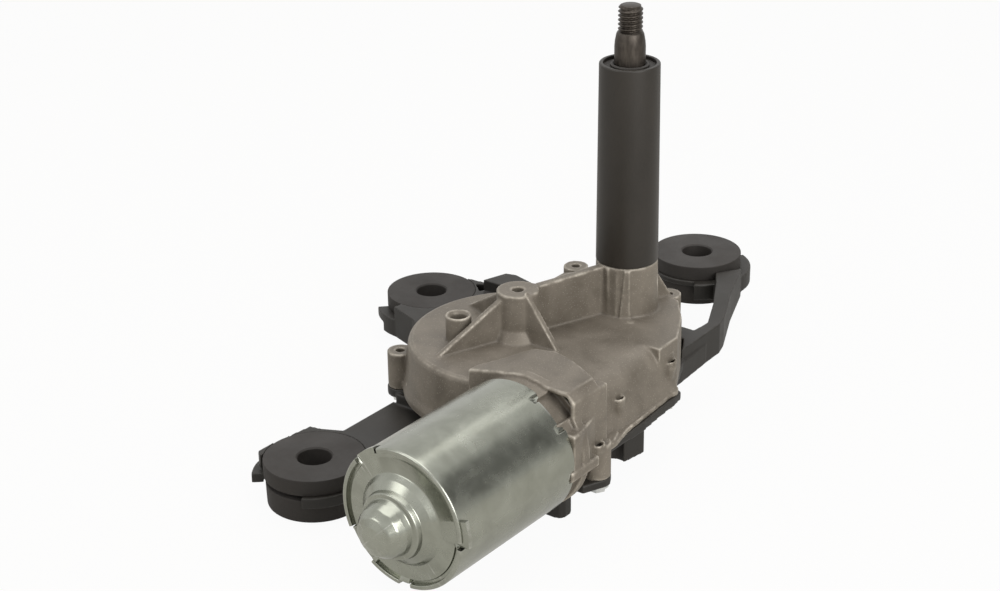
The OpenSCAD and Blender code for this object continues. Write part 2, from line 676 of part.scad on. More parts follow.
module contact_springs() {
    color([0.78, 0.62, 0.35]) for (r = spring_rows) spring_place(r) {
        translate([-0.8, 0, part_z - plate_t]) cube([1.6, 4, 0.4 + plate_t]);
        translate([-0.8, 3, part_z]) cube([1.6, 1, wheel_low_z - part_z + 0.8]);
    }
}

// Worm thread: radius at an angle and a place along the axis, crest on the wheel's side
function worm_phase(a, y) = let (p = y / (PI * worm_module) + (a - 180) / 360)
    abs(p - floor(p + 0.5));
function worm_radius(a, y) = let (q = worm_phase(a, y), crest = 0.11, foot = 0.33)
    q < crest ? worm_r : q > foot ? worm_root_r
    : worm_r + (worm_root_r - worm_r) * (q - crest) / (foot - crest);

module worm() {
    around = 24;
    step = PI * worm_module / 9;
    rows = 9 * worm_turns;
    bore = (worm_core_r + 0.02) / cos(180 / around);
    ends = worm_turns / 2 - 0.6;
    outer = [for (j = [0:rows], i = [0:around - 1])
        let (y = -worm_half + j * step, a = i * 360 / around,
            r = abs(y) > ends * PI * worm_module ? worm_root_r : worm_radius(a, y))
        [r * cos(a), y, r * sin(a)]];
    inner = [for (y = [-worm_half, worm_half], i = [0:around - 1])
        [bore * cos(i * 360 / around), y, bore * sin(i * 360 / around)]];
    base = len(outer);
    faces = concat(
        [for (j = [0:rows - 1], i = [0:around - 1]) let (k = (i + 1) % around)
            each [[j * around + i, (j + 1) * around + k, j * around + k],
                [j * around + i, (j + 1) * around + i, (j + 1) * around + k]]],
        [for (i = [0:around - 1]) let (k = (i + 1) % around)
            each [[base + i, base + k, base + around + k],
                [base + i, base + around + k, base + around + i],
                [i, k, base + k], [i, base + k, base + i],
                [rows * around + i, base + around + k, rows * around + k],
                [rows * around + i, base + around + i, base + around + k]]]);
    color([0.62, 0.62, 0.64]) translate([worm_x, wheel_y, worm_z])
        polyhedron(concat(outer, inner), faces, convexity = 8);
}

module armature_shaft() {
    color([0.66, 0.66, 0.68]) {
        motor_tube(shaft_r, wheel_y - worm_half - eps, can_out_y - 8);
        motor_tube(worm_core_r, -24, wheel_y - worm_half - 1);
    }
}

module armature_core() {
    slots = 12;
    color([0.42, 0.42, 0.44]) translate([worm_x, core_y + core_len / 2, worm_z])
        rotate([90, 0, 0]) linear_extrude(core_len) difference() {
            circle(r = core_r);
            circle(r = shaft_r);
            for (k = [0:slots - 1]) rotate(k * 360 / slots) {
                translate([core_r - 1.6, -0.8]) square([3, 1.6]);
                translate([core_r - 4, 0]) circle(r = 2.1);
            }
        }
}

module armature_windings() {
    color([0.62, 0.33, 0.14]) for (side = [-1, 1])
        motor_turned([[shaft_r, core_y + side * core_len / 2],
            [core_r - 2, core_y + side * core_len / 2],
            [core_r - 2.6, core_y + side * (core_len / 2 + 3.5)],
            [core_r - 5, core_y + side * (core_len / 2 + 5)],
            [shaft_r, core_y + side * (core_len / 2 + 5)]]);
}

module commutator() {
    color([0.72, 0.45, 0.25]) difference() {
        motor_tube(commutator_r, can_in_y + 5.7, can_in_y - 6.3);
        motor_tube(shaft_r, can_in_y + 6.7, can_in_y - 7.3);
    }
}

// Place of the can's rim, with angles counted from +X towards +Z
module at_rim() {
    translate([worm_x, can_out_y, worm_z]) rotate([90, 0, 0]) children();
}

module motor_can() {
    color([0.62, 0.65, 0.62]) difference() {
        motor_tube(can_r, can_in_y, can_out_y);
        motor_tube(can_r - can_wall, can_in_y + 1, can_out_y - 1);
        // Cuts in the rim for the end plate's ears, and the notch for the housing's lug
        at_rim() for (c = rim_cuts) sector(can_r + 2, c[0], c[1], -rim_cut, 1);
        translate([worm_x + can_r - 4, can_in_y - 2.1, worm_z - 5]) cube([6, 6, 3.9]);
    }
}

module can_end_plate() {
    y = can_out_y;
    color([0.64, 0.67, 0.64]) {
        motor_turned([[0, y - 12.8], [3.4, y - 12.8], [6, y - 11.5], [7.6, y - 9.6],
            [8.3, y - 7.5], [8.9, y - 5.4], [10.3, y - 4.6], [10.5, y - 3.4],
            [12.6, y - 1.2], [14.4, y + plate_in - 0.5], [19.2, y + plate_in - 0.3],
            [19.5, y + plate_in + 0.3], [can_r - can_wall, y + plate_in + 0.3],
            [can_r - can_wall, y + plate_in + plate_t_end], [13.6, y + plate_in + plate_t_end],
            [11.4, y - 0.2], [9.3, y - 2.6],
            [9.1, y - 3.4], [7.6, y - 4.4], [7.2, y - 7], [6.4, y - 9], [5, y - 10.6],
            [0, y - 11.6]]);
        at_rim() difference() {
            for (ear = plate_ears)
                sector(ear[2], ear[0], ear[1], -plate_in - plate_t_end, -plate_in - 0.1);
            cylinder(r = 19.6, h = 20, center = true);
        }
    }
}

// Self-aligning plain bearing in the end plate's cup
module end_bearing() {
    color([0.55, 0.42, 0.25]) translate([worm_x, can_out_y - 5.6, worm_z])
        rotate([90, 0, 0]) difference() {
            intersection() {
                sphere(r = 7.1);
                cylinder(r = 8, h = 7, center = true);
            }
            cylinder(r = shaft_r + run, h = 20, center = true);
        }
}

module bearing_clip() {
    y = can_out_y + plate_in;
    color([0.7, 0.7, 0.66]) motor_turned([[10.6, y + 0.2], [12.6, y + 1.2],
        [12.6, y + 1.6], [7, y + 0.7], [5.2, y - 2.7], [5.6, y - 2.9], [7.6, y - 0.2]]);
}

module magnets() {
    color([0.2, 0.2, 0.21]) difference() {
        motor_tube(can_r - can_wall, core_y + 20, core_y - 18);
        motor_tube(core_r + 0.6, core_y + 21, core_y - 19);
        for (s = [0, 1]) translate([worm_x, core_y, worm_z]) rotate([0, 180 * s, 0])
            rotate([90, 0, 0]) linear_extrude(60, center = true)
            polygon([[0, 0], [40, 22], [40, -22]]);
    }
}

module brush_holder() {
    color([0.16, 0.15, 0.14]) difference() {
        union() {
            motor_tube(17.4, can_in_y + 4.7, can_in_y + 2.1);
            translate([worm_x - 17, can_in_y - 2.7, worm_z - 3.2]) cube([34, 6, 6.4]);
        }
        motor_tube(commutator_r + 1, can_in_y + 10, can_in_y - 10);
        translate([worm_x - 16.6, can_in_y - 1.9, worm_z - 2.3]) cube([33.2, 4.2, 4.6]);
    }
}

module carbon_brushes() {
    color([0.15, 0.15, 0.16]) for (s = [0, 180])
        translate([worm_x, 0, worm_z]) rotate([0, s, 0])
            translate([commutator_r + gap, can_in_y - 1.8, -2.2]) cube([5.2, 4, 4.4]);
}

module brush_springs() {
    color([0.75, 0.75, 0.72]) for (s = [0, 180])
        translate([worm_x, can_in_y + 0.2, worm_z]) rotate([0, s, 0])
            translate([commutator_r + gap + 5.2, 0, 0]) rotate([0, 90, 0])
            cylinder(r = 1.6, h = 2);
}

module drive_bearing() {
    color([0.55, 0.42, 0.25]) difference() {
        motor_tube(8, can_in_y + 20.7, can_in_y + 12.7);
        motor_tube(shaft_r + run, can_in_y + 21.7, can_in_y + 11.7);
    }
}

module tip_bearing() {
    color([0.55, 0.42, 0.25]) difference() {
        motor_tube(tunnel_r, tunnel_end_y, -27);
        motor_tube(worm_core_r + run, -23.5, -28);
    }
}

module connector_terminals() {
    color([0.78, 0.7, 0.5]) for (k = [0:4])
        translate([8.6 + 2.6 * k, -65.2, foot_z - 10]) cube([0.8, 1.6, 7]);
}

// Involute-like gear tooth outline, straight flanked, with its backlash
module gear_plan(teeth, module_size) {
    r = teeth * module_size / 2;
    union() {
        circle(r = r - 1.15 * module_size);
        for (k = [0:teeth - 1]) rotate(k * 360 / teeth)
            polygon([[r - 1.6 * module_size, -1.05 + backlash / 2],
                [r, -0.78 + backlash / 2], [r + 0.85 * module_size, -0.36 + backlash / 2],
                [r + 0.85 * module_size, 0.36 - backlash / 2], [r, 0.78 - backlash / 2],
                [r - 1.6 * module_size, 1.05 - backlash / 2]]);
    }
}

module output_shaft() {
    color([0.3, 0.28, 0.26]) {
        rotate_extrude() polygon([[0, segment_low_z], [spindle_d / 2, segment_low_z],
            [spindle_d / 2, -5.1], [spindle_d / 2 - relief, -5.1],
            [spindle_d / 2 - relief, -0.3], [spindle_d / 2, -0.2],
            [spindle_d / 2, seat_len], [cone_d / 2, seat_len + cone_len],
            [thread_d / 2 - 0.6, seat_len + cone_len + 0.5],
            [thread_d / 2 - 0.6, seat_len + cone_len + 1],
            [thread_d / 2, seat_len + cone_len + 1.6],
            [thread_d / 2, seat_len + cone_len + thread_len - 1],
            [thread_d / 2 - 1, seat_len + cone_len + thread_len],
            [0, seat_len + cone_len + thread_len]]);
        translate([0, 0, shaft_low_z])
            cylinder(r = shaft_tail_r, h = segment_low_z - shaft_low_z + eps);
    }
}

module output_pinion() {
    color([0.6, 0.6, 0.6]) translate([0, 0, segment_low_z]) difference() {
        rotate([0, 0, link_dir + 180 / pinion_teeth])
            linear_extrude(segment_t) gear_plan(pinion_teeth, gear_module);
        translate([0, 0, -1]) cylinder(r = spindle_d / 2, h = segment_t + 2);
    }
}

module shaft_circlips() {
    color([0.25, 0.25, 0.26]) {
        translate([0, 0, link_low_z - 0.1 - clip_t]) difference() {
            cylinder(r = shaft_tail_r + 1.8, h = clip_t);
            translate([0, 0, -1]) cylinder(r = shaft_tail_r, h = 3);
        }
        translate([0, 0, -5]) difference() {
            cylinder(r = spindle_d / 2 + 1.1, h = 0.6);
            translate([0, 0, -1]) cylinder(r = spindle_d / 2 - relief, h = 3);
        }
    }
}

module guide_link() {
    color([0.66, 0.66, 0.66]) translate([0, 0, link_low_z]) rotate([0, 0, link_dir])
        difference() {
            union() {
                cylinder(r = 5.6, h = link_t);
                translate([link_len, 0, 0]) cylinder(r = 5, h = link_t);
                translate([0, -4, 0]) cube([link_len, 8, link_t]);
            }
            translate([0, 0, -1]) cylinder(r = shaft_tail_r + run, h = 4);
            translate([link_len, 0, -1]) cylinder(r = link_pin_r, h = 4);
        }
}

module link_pin() {
    color([0.7, 0.7, 0.7]) translate([pivot_x, pivot_y, link_low_z])
        cylinder(r = link_pin_r, h = segment_top_z - link_low_z);
}

module gear_segment() {
    color([0.58, 0.58, 0.6]) translate([pivot_x, pivot_y, segment_low_z]) difference() {
        union() {
            linear_extrude(segment_t) intersection() {
                rotate(link_dir + 180) gear_plan(segment_teeth, gear_module);
                rotate(rod_dir) polygon([[0, 0], [10, 28], [-4, 34], [-26, 26], [-8, -3]]);
            }
            cylinder(r = 5, h = segment_t);
            rotate([0, 0, rod_dir]) {
                translate([0, -3.5, 0]) cube([rod_len, 7, segment_t]);
                translate([rod_len, 0, 0]) cylinder(r = 5, h = segment_t);
            }
        }
        translate([0, 0, -1]) cylinder(r = link_pin_r + run, h = segment_t + 2);
        rotate([0, 0, rod_dir]) translate([rod_len, 0, -1])
            cylinder(r = crank_pin_r + run, h = segment_t + 2);
    }
}

gear_housing();
shaft_sleeve();
upper_bush();
lower_bush();
shaft_seal();
mounting_bracket();
bracket_screws();
grommet_left();
grommet_front();
grommet_right();
wheel_axle();
wheel_washer();
contact_springs();
connector_terminals();
motor_can();
can_end_plate();
end_bearing();
bearing_clip();
magnets();
brush_holder();
carbon_brushes();
brush_springs();
drive_bearing();
tip_bearing();
armature_shaft();
worm();
armature_core();
armature_windings();
commutator();
worm_wheel();
crank_pin();
contact_disc();
output_shaft();
output_pinion();
shaft_circlips();
guide_link();
link_pin();
gear_segment();
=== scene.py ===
import math

import bmesh
import bpy
from mathutils import Matrix, Vector


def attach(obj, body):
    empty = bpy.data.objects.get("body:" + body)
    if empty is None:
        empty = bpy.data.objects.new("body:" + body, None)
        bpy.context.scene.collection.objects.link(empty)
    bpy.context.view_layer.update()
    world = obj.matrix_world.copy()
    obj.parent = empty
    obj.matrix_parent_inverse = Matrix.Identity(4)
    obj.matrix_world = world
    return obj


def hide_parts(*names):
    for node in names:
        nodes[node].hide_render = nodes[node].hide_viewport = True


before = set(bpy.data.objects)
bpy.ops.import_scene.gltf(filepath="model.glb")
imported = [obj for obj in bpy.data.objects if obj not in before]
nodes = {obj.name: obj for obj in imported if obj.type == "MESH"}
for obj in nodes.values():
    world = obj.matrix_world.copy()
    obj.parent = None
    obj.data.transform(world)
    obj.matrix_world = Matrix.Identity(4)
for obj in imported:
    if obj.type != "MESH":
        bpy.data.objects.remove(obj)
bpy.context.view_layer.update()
mm = 0.001
motorAxis = (15.698, -97.1)   # x and z of the motor's axis, in millimetres as all sizes here
print("frame loaded:", len(nodes), "nodes")


# Small helpers for shader trees

def addNode(tree, kind, inputs=None, **settings):
    node = tree.nodes.new(kind)
    for key, value in settings.items():
        setattr(node, key, value)
    for key, value in (inputs or {}).items():
        node.inputs[key].default_value = value
    return node


def startGroup(name, numbers, outputs):
    group = bpy.data.node_groups.new(name, "ShaderNodeTree")
    sockets = group.interface
    sockets.new_socket(name="Vector", in_out="INPUT", socket_type="NodeSocketVector")
    for label, value in numbers.items():
        socket = sockets.new_socket(name=label, in_out="INPUT", socket_type="NodeSocketFloat")
        socket.default_value = value
    for label in outputs:
        sockets.new_socket(name=label, in_out="OUTPUT", socket_type="NodeSocketFloat")
    return group, addNode(group, "NodeGroupInput"), addNode(group, "NodeGroupOutput")


# One sum on two values, each a number or a socket
def reckon(tree, operation, first, second):
    node = addNode(tree, "ShaderNodeMath", operation=operation)
    for index, value in enumerate((first, second)):
        if isinstance(value, (int, float)):
            node.inputs[index].default_value = value
        else:
            tree.links.new(value, node.inputs[index])
    return node.outputs[0]


# Stretches low..high to toLow..toHigh, and holds it there outside
def spread(tree, value, low, high, toLow=0.0, toHigh=1.0):
    node = addNode(tree, "ShaderNodeMapRange", {1: low, 2: high, 3: toLow, 4: toHigh})
    tree.links.new(value, node.inputs[0])
    return node.outputs[0]


def mixColour(tree, factor, first, second):
    node = addNode(tree, "ShaderNodeMix", data_type="RGBA")
    for socket, value in ((0, factor), (6, first), (7, second)):
        if isinstance(value, tuple):
            node.inputs[socket].default_value = (*value, 1)
        else:
            tree.links.new(value, node.inputs[socket])
    return node.outputs[2]


# Grain of a cast or moulded skin: fine bumps, pits and a slow mottle
def makeGrainGroup():
    pitCore, pitEdge, pitShare = 0.06, 0.26, 0.5
    mottleLow, mottleHigh = 0.34, 0.66
    group, entry, leave = startGroup(
        "castGrain", {"Fine Scale": 900.0, "Pit Scale": 500.0, "Mottle Scale": 60.0},
        ("Height", "Pits", "Mottle"))
    links = group.links
    fine = addNode(group, "ShaderNodeTexNoise", {"Detail": 3.0, "Roughness": 0.6})
    pits = addNode(group, "ShaderNodeTexVoronoi", {"Randomness": 1.0})
    slow = addNode(group, "ShaderNodeTexNoise",
                   {"Detail": 5.0, "Roughness": 0.62, "Distortion": 0.4})
    for node, label in ((fine, "Fine Scale"), (pits, "Pit Scale"), (slow, "Mottle Scale")):
        links.new(entry.outputs["Vector"], node.inputs["Vector"])
        links.new(entry.outputs[label], node.inputs["Scale"])
    pitMask = spread(group, pits.outputs["Distance"], pitCore, pitEdge, 1.0, 0.0)
    mottle = spread(group, slow.outputs[0], mottleLow, mottleHigh)
    height = reckon(group, "SUBTRACT", fine.outputs[0],
                    reckon(group, "MULTIPLY", pitMask, pitShare))
    links.new(height, leave.inputs["Height"])
    links.new(pitMask, leave.inputs["Pits"])
    links.new(mottle, leave.inputs["Mottle"])
    return group


# Painted highlight on convex edges, broken up by noise, and painted shade in hollows
def makeEdgeLightAndHollowShadeGroup():
    breakLow, breakHigh = 0.35, 0.6
    hollowStart, hollowEnd = 0.49, 0.43
    group, entry, leave = startGroup(
        "paintedEdgeLightAndHollowShade", {"Start": 0.505, "End": 0.56, "Break Scale": 300.0}, ("Edges", "Hollows"))
    links = group.links
    shape = addNode(group, "ShaderNodeNewGeometry")
    breaks = addNode(group, "ShaderNodeTexNoise", {"Detail": 4.0})
    links.new(entry.outputs["Vector"], breaks.inputs["Vector"])
    links.new(entry.outputs["Break Scale"], breaks.inputs["Scale"])
    edge = addNode(group, "ShaderNodeMapRange", {3: 0.0, 4: 1.0})
    links.new(shape.outputs["Pointiness"], edge.inputs[0])
    links.new(entry.outputs["Start"], edge.inputs[1])
    links.new(entry.outputs["End"], edge.inputs[2])
    broken = spread(group, breaks.outputs[0], breakLow, breakHigh)
    links.new(reckon(group, "MULTIPLY", edge.outputs[0], broken), leave.inputs["Edges"])
    hollowShade = spread(group, shape.outputs["Pointiness"], hollowStart, hollowEnd)
    links.new(hollowShade, leave.inputs["Hollows"])
    return group


# Dust that settles on what faces up
def makeDustGroup():
    steepest, thinnest = 0.2, 0.35   # slope that still holds dust, and dust between the patches
    patchLow, patchHigh = 0.3, 0.7
    group, entry, leave = startGroup(
        "settledDust", {"Amount": 0.5, "Patch Scale": 90.0}, ("Dust",))
    links = group.links
    shape = addNode(group, "ShaderNodeNewGeometry")
    parts = addNode(group, "ShaderNodeSeparateXYZ")
    patches = addNode(group, "ShaderNodeTexNoise", {"Detail": 5.0, "Roughness": 0.6})
    links.new(shape.outputs["Normal"], parts.inputs[0])
    links.new(entry.outputs["Vector"], patches.inputs["Vector"])
    links.new(entry.outputs["Patch Scale"], patches.inputs["Scale"])
    up = spread(group, parts.outputs["Z"], steepest, 1.0)
    patchy = spread(group, patches.outputs[0], patchLow, patchHigh, thinnest, 1.0)
    lying = reckon(group, "MULTIPLY", up, patchy)
    dust = reckon(group, "MULTIPLY", lying, entry.outputs["Amount"])
    links.new(dust, leave.inputs["Dust"])
    return group


grainGroup, edgeLightAndHollowShadeGroup, dustGroup = makeGrainGroup(), makeEdgeLightAndHollowShadeGroup(), makeDustGroup()


def startMaterial(name):
    material = bpy.data.materials.new(name)
    material.use_nodes = True
    tree = material.node_tree
    place = addNode(tree, "ShaderNodeTexCoord").outputs["Object"]
    return material, tree, tree.nodes["Principled BSDF"], place


def placeGroup(tree, group, place, **numbers):
    node = addNode(tree, "ShaderNodeGroup", node_tree=group)
    tree.links.new(place, node.inputs["Vector"])
    for label, value in numbers.items():
        node.inputs[label.replace("_", " ")].default_value = value
    return node


# Lays a colour over another where a mask shows, by a share
def layOver(tree, mask, share, colour, over):
    return mixColour(tree, reckon(tree, "MULTIPLY", mask, share), colour, over)


def bumpFrom(tree, shader, height, look):
    bump = addNode(tree, "ShaderNodeBump",
                   {"Strength": look["bump"], "Distance": look["bumpDepth"] * mm})
    tree.links.new(height, bump.inputs["Height"])
    tree.links.new(bump.outputs[0], shader.inputs["Normal"])


# A skin with grain, used for the casting and the mouldings; painted edge highlight, painted
# hollow shade and dust only where given
def skinMaterial(name, look):
    material, tree, shader, place = startMaterial(name)
    grain = placeGroup(tree, grainGroup, place, Fine_Scale=look["fine"],
                       Pit_Scale=look["pits"], Mottle_Scale=look["mottle"])
    colour = mixColour(tree, grain.outputs["Mottle"], look["dark"], look["light"])
    colour = layOver(tree, grain.outputs["Pits"], look["pitDepth"], colour, look["pitColour"])
    # Edges lightened as a painted highlight, hollows darkened as painted shade
    if "paintedLight" in look:
        paintedLight = placeGroup(tree, edgeLightAndHollowShadeGroup, place)
        colour = layOver(tree, paintedLight.outputs["Edges"], look["paintedLight"], colour, look["edge"])
        colour = layOver(tree, paintedLight.outputs["Hollows"], look["paintedLight"], colour, look["hollowShade"])
    if "dust" in look:
        dust = placeGroup(tree, dustGroup, place, Amount=look["dust"])
        colour = mixColour(tree, dust.outputs["Dust"], colour, look["dustColour"])
    tree.links.new(colour, shader.inputs["Base Color"])
    rough = spread(tree, grain.outputs["Mottle"], 0, 1, *look["rough"])
    tree.links.new(rough, shader.inputs["Roughness"])
    shader.inputs["Metallic"].default_value = look["metallic"]
    shader.inputs["Specular IOR Level"].default_value = look["specular"]
    bumpFrom(tree, shader, grain.outputs["Height"], look)
    return material


castAluminium = skinMaterial("castAluminium", {
    "fine": 1500.0, "pits": 1250.0, "mottle": 70.0,
    "dark": (0.138, 0.118, 0.092), "light": (0.222, 0.194, 0.157),
    "pitDepth": 0.5, "pitColour": (0.42, 0.38, 0.32),
    # The next share and two colours paint a highlight on the edges and shade in the hollows
    "paintedLight": 0.9, "edge": (0.56, 0.51, 0.43), "hollowShade": (0.075, 0.064, 0.05),
    "dust": 0.12, "dustColour": (0.34, 0.30, 0.25),
    "rough": (0.46, 0.62), "metallic": 0.3, "specular": 0.5, "bump": 0.45, "bumpDepth": 0.14})
bracketPlastic = skinMaterial("bracketPlastic", {
    "fine": 1800.0, "pits": 900.0, "mottle": 40.0,
    "dark": (0.013, 0.0113, 0.009), "light": (0.021, 0.0185, 0.0152),
    "pitDepth": 0.2, "pitColour": (0.009, 0.008, 0.0065),
    # The next share and two colours paint a highlight on the edges and shade in the hollows
    "paintedLight": 0.35, "edge": (0.075, 0.07, 0.062), "hollowShade": (0.008, 0.007, 0.006),
    "dust": 0.3, "dustColour": (0.068, 0.060, 0.050),
    "rough": (0.46, 0.58), "metallic": 0.0, "specular": 0.38, "bump": 0.18, "bumpDepth": 0.06})
sleevePlastic = skinMaterial("sleevePlastic", {
    "fine": 2200.0, "pits": 1200.0, "mottle": 30.0,
    "dark": (0.021, 0.0175, 0.0135), "light": (0.028, 0.0235, 0.0185),
    "pitDepth": 0.1, "pitColour": (0.025, 0.022, 0.02),
    "dust": 0.1, "dustColour": (0.075, 0.067, 0.057),
    "rough": (0.40, 0.48), "metallic": 0.0, "specular": 0.38, "bump": 0.1, "bumpDepth": 0.04})
grommetRubber = skinMaterial("grommetRubber", {
    "fine": 1300.0, "pits": 800.0, "mottle": 70.0,
    "dark": (0.019, 0.016, 0.0135), "light": (0.029, 0.025, 0.0215),
    "pitDepth": 0.2, "pitColour": (0.013, 0.0115, 0.010),
    "dust": 0.45, "dustColour": (0.085, 0.078, 0.072),
    "rough": (0.62, 0.78), "metallic": 0.0, "specular": 0.4, "bump": 0.2, "bumpDepth": 0.05})
ferriteBlock = skinMaterial("ferriteBlock", {
    "fine": 1600.0, "pits": 900.0, "mottle": 90.0,
    "dark": (0.030, 0.030, 0.032), "light": (0.045, 0.045, 0.047),
    "pitDepth": 0.3, "pitColour": (0.02, 0.02, 0.02),
    "rough": (0.55, 0.7), "metallic": 0.1, "specular": 0.5, "bump": 0.2, "bumpDepth": 0.05})
pressedCarbon = skinMaterial("pressedCarbon", {
    "fine": 2400.0, "pits": 1500.0, "mottle": 200.0,
    "dark": (0.022, 0.022, 0.023), "light": (0.034, 0.034, 0.035),
    "pitDepth": 0.2, "pitColour": (0.01, 0.01, 0.01),
    "rough": (0.4, 0.5), "metallic": 0.2, "specular": 0.5, "bump": 0.15, "bumpDepth": 0.04})
gearPlastic = skinMaterial("gearPlastic", {
    "fine": 1800.0, "pits": 900.0, "mottle": 60.0,
    "dark": (0.60, 0.57, 0.46), "light": (0.68, 0.65, 0.54),
    "pitDepth": 0.1, "pitColour": (0.5, 0.47, 0.36),
    "rough": (0.38, 0.48), "metallic": 0.0, "specular": 0.5, "bump": 0.1, "bumpDepth": 0.03})


# A bare or plated metal: a slow cloud in colour and gloss, and fine marks along one way
def metalMaterial(name, look):
    pitScaleShare, grainShare, paintBreaks = 0.6, 0.4, 500.0
    markLow, markHigh = 0.45, 0.75
    glossier, duller = -0.03, 0.05   # change of roughness along the marks
    material, tree, shader, place = startMaterial(name)
    grain = placeGroup(tree, grainGroup, place, Fine_Scale=look["fine"],
                       Pit_Scale=look["fine"] * pitScaleShare, Mottle_Scale=look["mottle"])
    stretch = addNode(tree, "ShaderNodeMapping", {"Scale": look["stretch"]})
    tree.links.new(place, stretch.inputs["Vector"])
    marks = addNode(tree, "ShaderNodeTexNoise", {"Scale": look["marks"], "Detail": 4.0})
    tree.links.new(stretch.outputs[0], marks.inputs["Vector"])
    colour = mixColour(tree, grain.outputs["Mottle"], look["dark"], look["light"])
    marked = spread(tree, marks.outputs[0], markLow, markHigh, 0, look["markDepth"])
    colour = mixColour(tree, marked, colour, look["markColour"])
    # Painted shade darkens the hollows and a painted highlight lightens the edges, where given
    if "paintedLightShare" in look:
        paintedLight = placeGroup(tree, edgeLightAndHollowShadeGroup, place, Break_Scale=paintBreaks)
        colour = layOver(tree, paintedLight.outputs["Hollows"], look["paintedLightShare"], colour, look["hollowShadeColour"])
        colour = layOver(tree, paintedLight.outputs["Edges"], look["paintedLightShare"], colour, look["edge"])
    tree.links.new(colour, shader.inputs["Base Color"])
    clouded = spread(tree, grain.outputs["Mottle"], 0, 1, *look["rough"])
    streaked = spread(tree, marks.outputs[0], 0.3, 0.7, glossier, duller)
    tree.links.new(reckon(tree, "ADD", clouded, streaked), shader.inputs["Roughness"])
    shader.inputs["Metallic"].default_value = look["metallic"]
    faint = reckon(tree, "MULTIPLY", grain.outputs["Height"], grainShare)
    bumpFrom(tree, shader, reckon(tree, "ADD", marks.outputs[0], faint), look)
    return material


zincPlate = metalMaterial("zincPlate", {
    "fine": 800.0, "mottle": 110.0, "stretch": (1.0, 0.12, 1.0), "marks": 260.0,
    "dark": (0.28, 0.287, 0.242), "light": (0.345, 0.354, 0.303),
    "markDepth": 0.25, "markColour": (0.245, 0.248, 0.208),
    # The next share and colours paint shade in the hollows and a highlight on the edges
    "paintedLightShare": 0.8, "hollowShadeColour": (0.07, 0.06, 0.045), "edge": (0.46, 0.46, 0.42),
    "rough": (0.19, 0.28), "metallic": 0.95, "bump": 0.05, "bumpDepth": 0.05})
screwSteel = metalMaterial("screwSteel", {
    "fine": 1500.0, "mottle": 300.0, "stretch": (1.0, 1.0, 1.0), "marks": 900.0,
    "dark": (0.62, 0.63, 0.62), "light": (0.72, 0.73, 0.72),
    "markDepth": 0.2, "markColour": (0.5, 0.5, 0.49),
    "rough": (0.22, 0.34), "metallic": 1.0, "bump": 0.05, "bumpDepth": 0.03})
spindleSteel = metalMaterial("spindleSteel", {
    "fine": 1600.0, "mottle": 220.0, "stretch": (1.0, 1.0, 0.2), "marks": 1200.0,
    "dark": (0.040, 0.033, 0.027), "light": (0.068, 0.057, 0.047),
    "markDepth": 0.4, "markColour": (0.13, 0.112, 0.092),
    "rough": (0.36, 0.5), "metallic": 0.7, "bump": 0.12, "bumpDepth": 0.04})
plainSteel = metalMaterial("plainSteel", {
    "fine": 1500.0, "mottle": 200.0, "stretch": (1.0, 1.0, 0.3), "marks": 900.0,
    "dark": (0.50, 0.50, 0.50), "light": (0.58, 0.58, 0.58),
    "markDepth": 0.25, "markColour": (0.42, 0.42, 0.42),
    "rough": (0.24, 0.36), "metallic": 1.0, "bump": 0.08, "bumpDepth": 0.03})
sinteredBronze = metalMaterial("sinteredBronze", {
    "fine": 2600.0, "mottle": 260.0, "stretch": (1.0, 1.0, 1.0), "marks": 1500.0,
    "dark": (0.40, 0.27, 0.13), "light": (0.50, 0.36, 0.19),
    "markDepth": 0.3, "markColour": (0.28, 0.18, 0.08),
    "rough": (0.38, 0.5), "metallic": 0.95, "bump": 0.18, "bumpDepth": 0.04})
bareCopper = metalMaterial("bareCopper", {
    "fine": 1400.0, "mottle": 240.0, "stretch": (0.3, 1.0, 1.0), "marks": 1600.0,
    "dark": (0.60, 0.26, 0.13), "light": (0.72, 0.36, 0.20),
    "markDepth": 0.35, "markColour": (0.38, 0.15, 0.07),
    "rough": (0.28, 0.42), "metallic": 1.0, "bump": 0.12, "bumpDepth": 0.04})
coreSheets = metalMaterial("coreSheets", {
    "fine": 1200.0, "mottle": 160.0, "stretch": (0.1, 4.0, 0.1), "marks": 700.0,
    "dark": (0.20, 0.20, 0.205), "light": (0.27, 0.27, 0.275),
    "markDepth": 0.6, "markColour": (0.08, 0.08, 0.08),
    "rough": (0.4, 0.55), "metallic": 0.85, "bump": 0.3, "bumpDepth": 0.08})
print("materials made")


# Mesh helpers

def addObject(name, data):
    obj = bpy.data.objects.new(name, data)
    bpy.context.scene.collection.objects.link(obj)
    return obj


def addPiece(name, mesh, material, body, standsFor=()):
    mesh.materials.clear()
    mesh.materials.append(material)
    piece = addObject(name, mesh)
    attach(piece, body)
    if standsFor:
        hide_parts(*standsFor)
    return piece


def bakeModifiers(obj):
    bpy.context.view_layer.update()
    evaluated = obj.evaluated_get(bpy.context.evaluated_depsgraph_get())
    mesh = bpy.data.meshes.new_from_object(evaluated)
    obj.modifiers.clear()
    return mesh


def meshOf(name, work):
    mesh = bpy.data.meshes.new(name)
    work.to_mesh(mesh)
    work.free()
    return mesh


# Level circle of points
def circle(x, y, radius, height, steps=24):
    return [(x + radius * math.cos(step * math.tau / steps),
             y + radius * math.sin(step * math.tau / steps), height) for step in range(steps)]


def addRing(work, points):
    return [work.verts.new([v * mm for v in point]) for point in points]


# Strip of faces between two closed rings with as many points each
def joinRings(work, one, two):
    count = len(one)
    return [work.faces.new((one[k], one[(k + 1) % count], two[(k + 1) % count], two[k]))
            for k in range(count)]


# Solid between two outlines with as many corners each
def addBlock(work, low, high):
    rings = [addRing(work, ring) for ring in (low, high)]
    faces = [work.faces.new(ring) for ring in rings] + joinRings(work, *rings)
    bmesh.ops.recalc_face_normals(work, faces=faces)


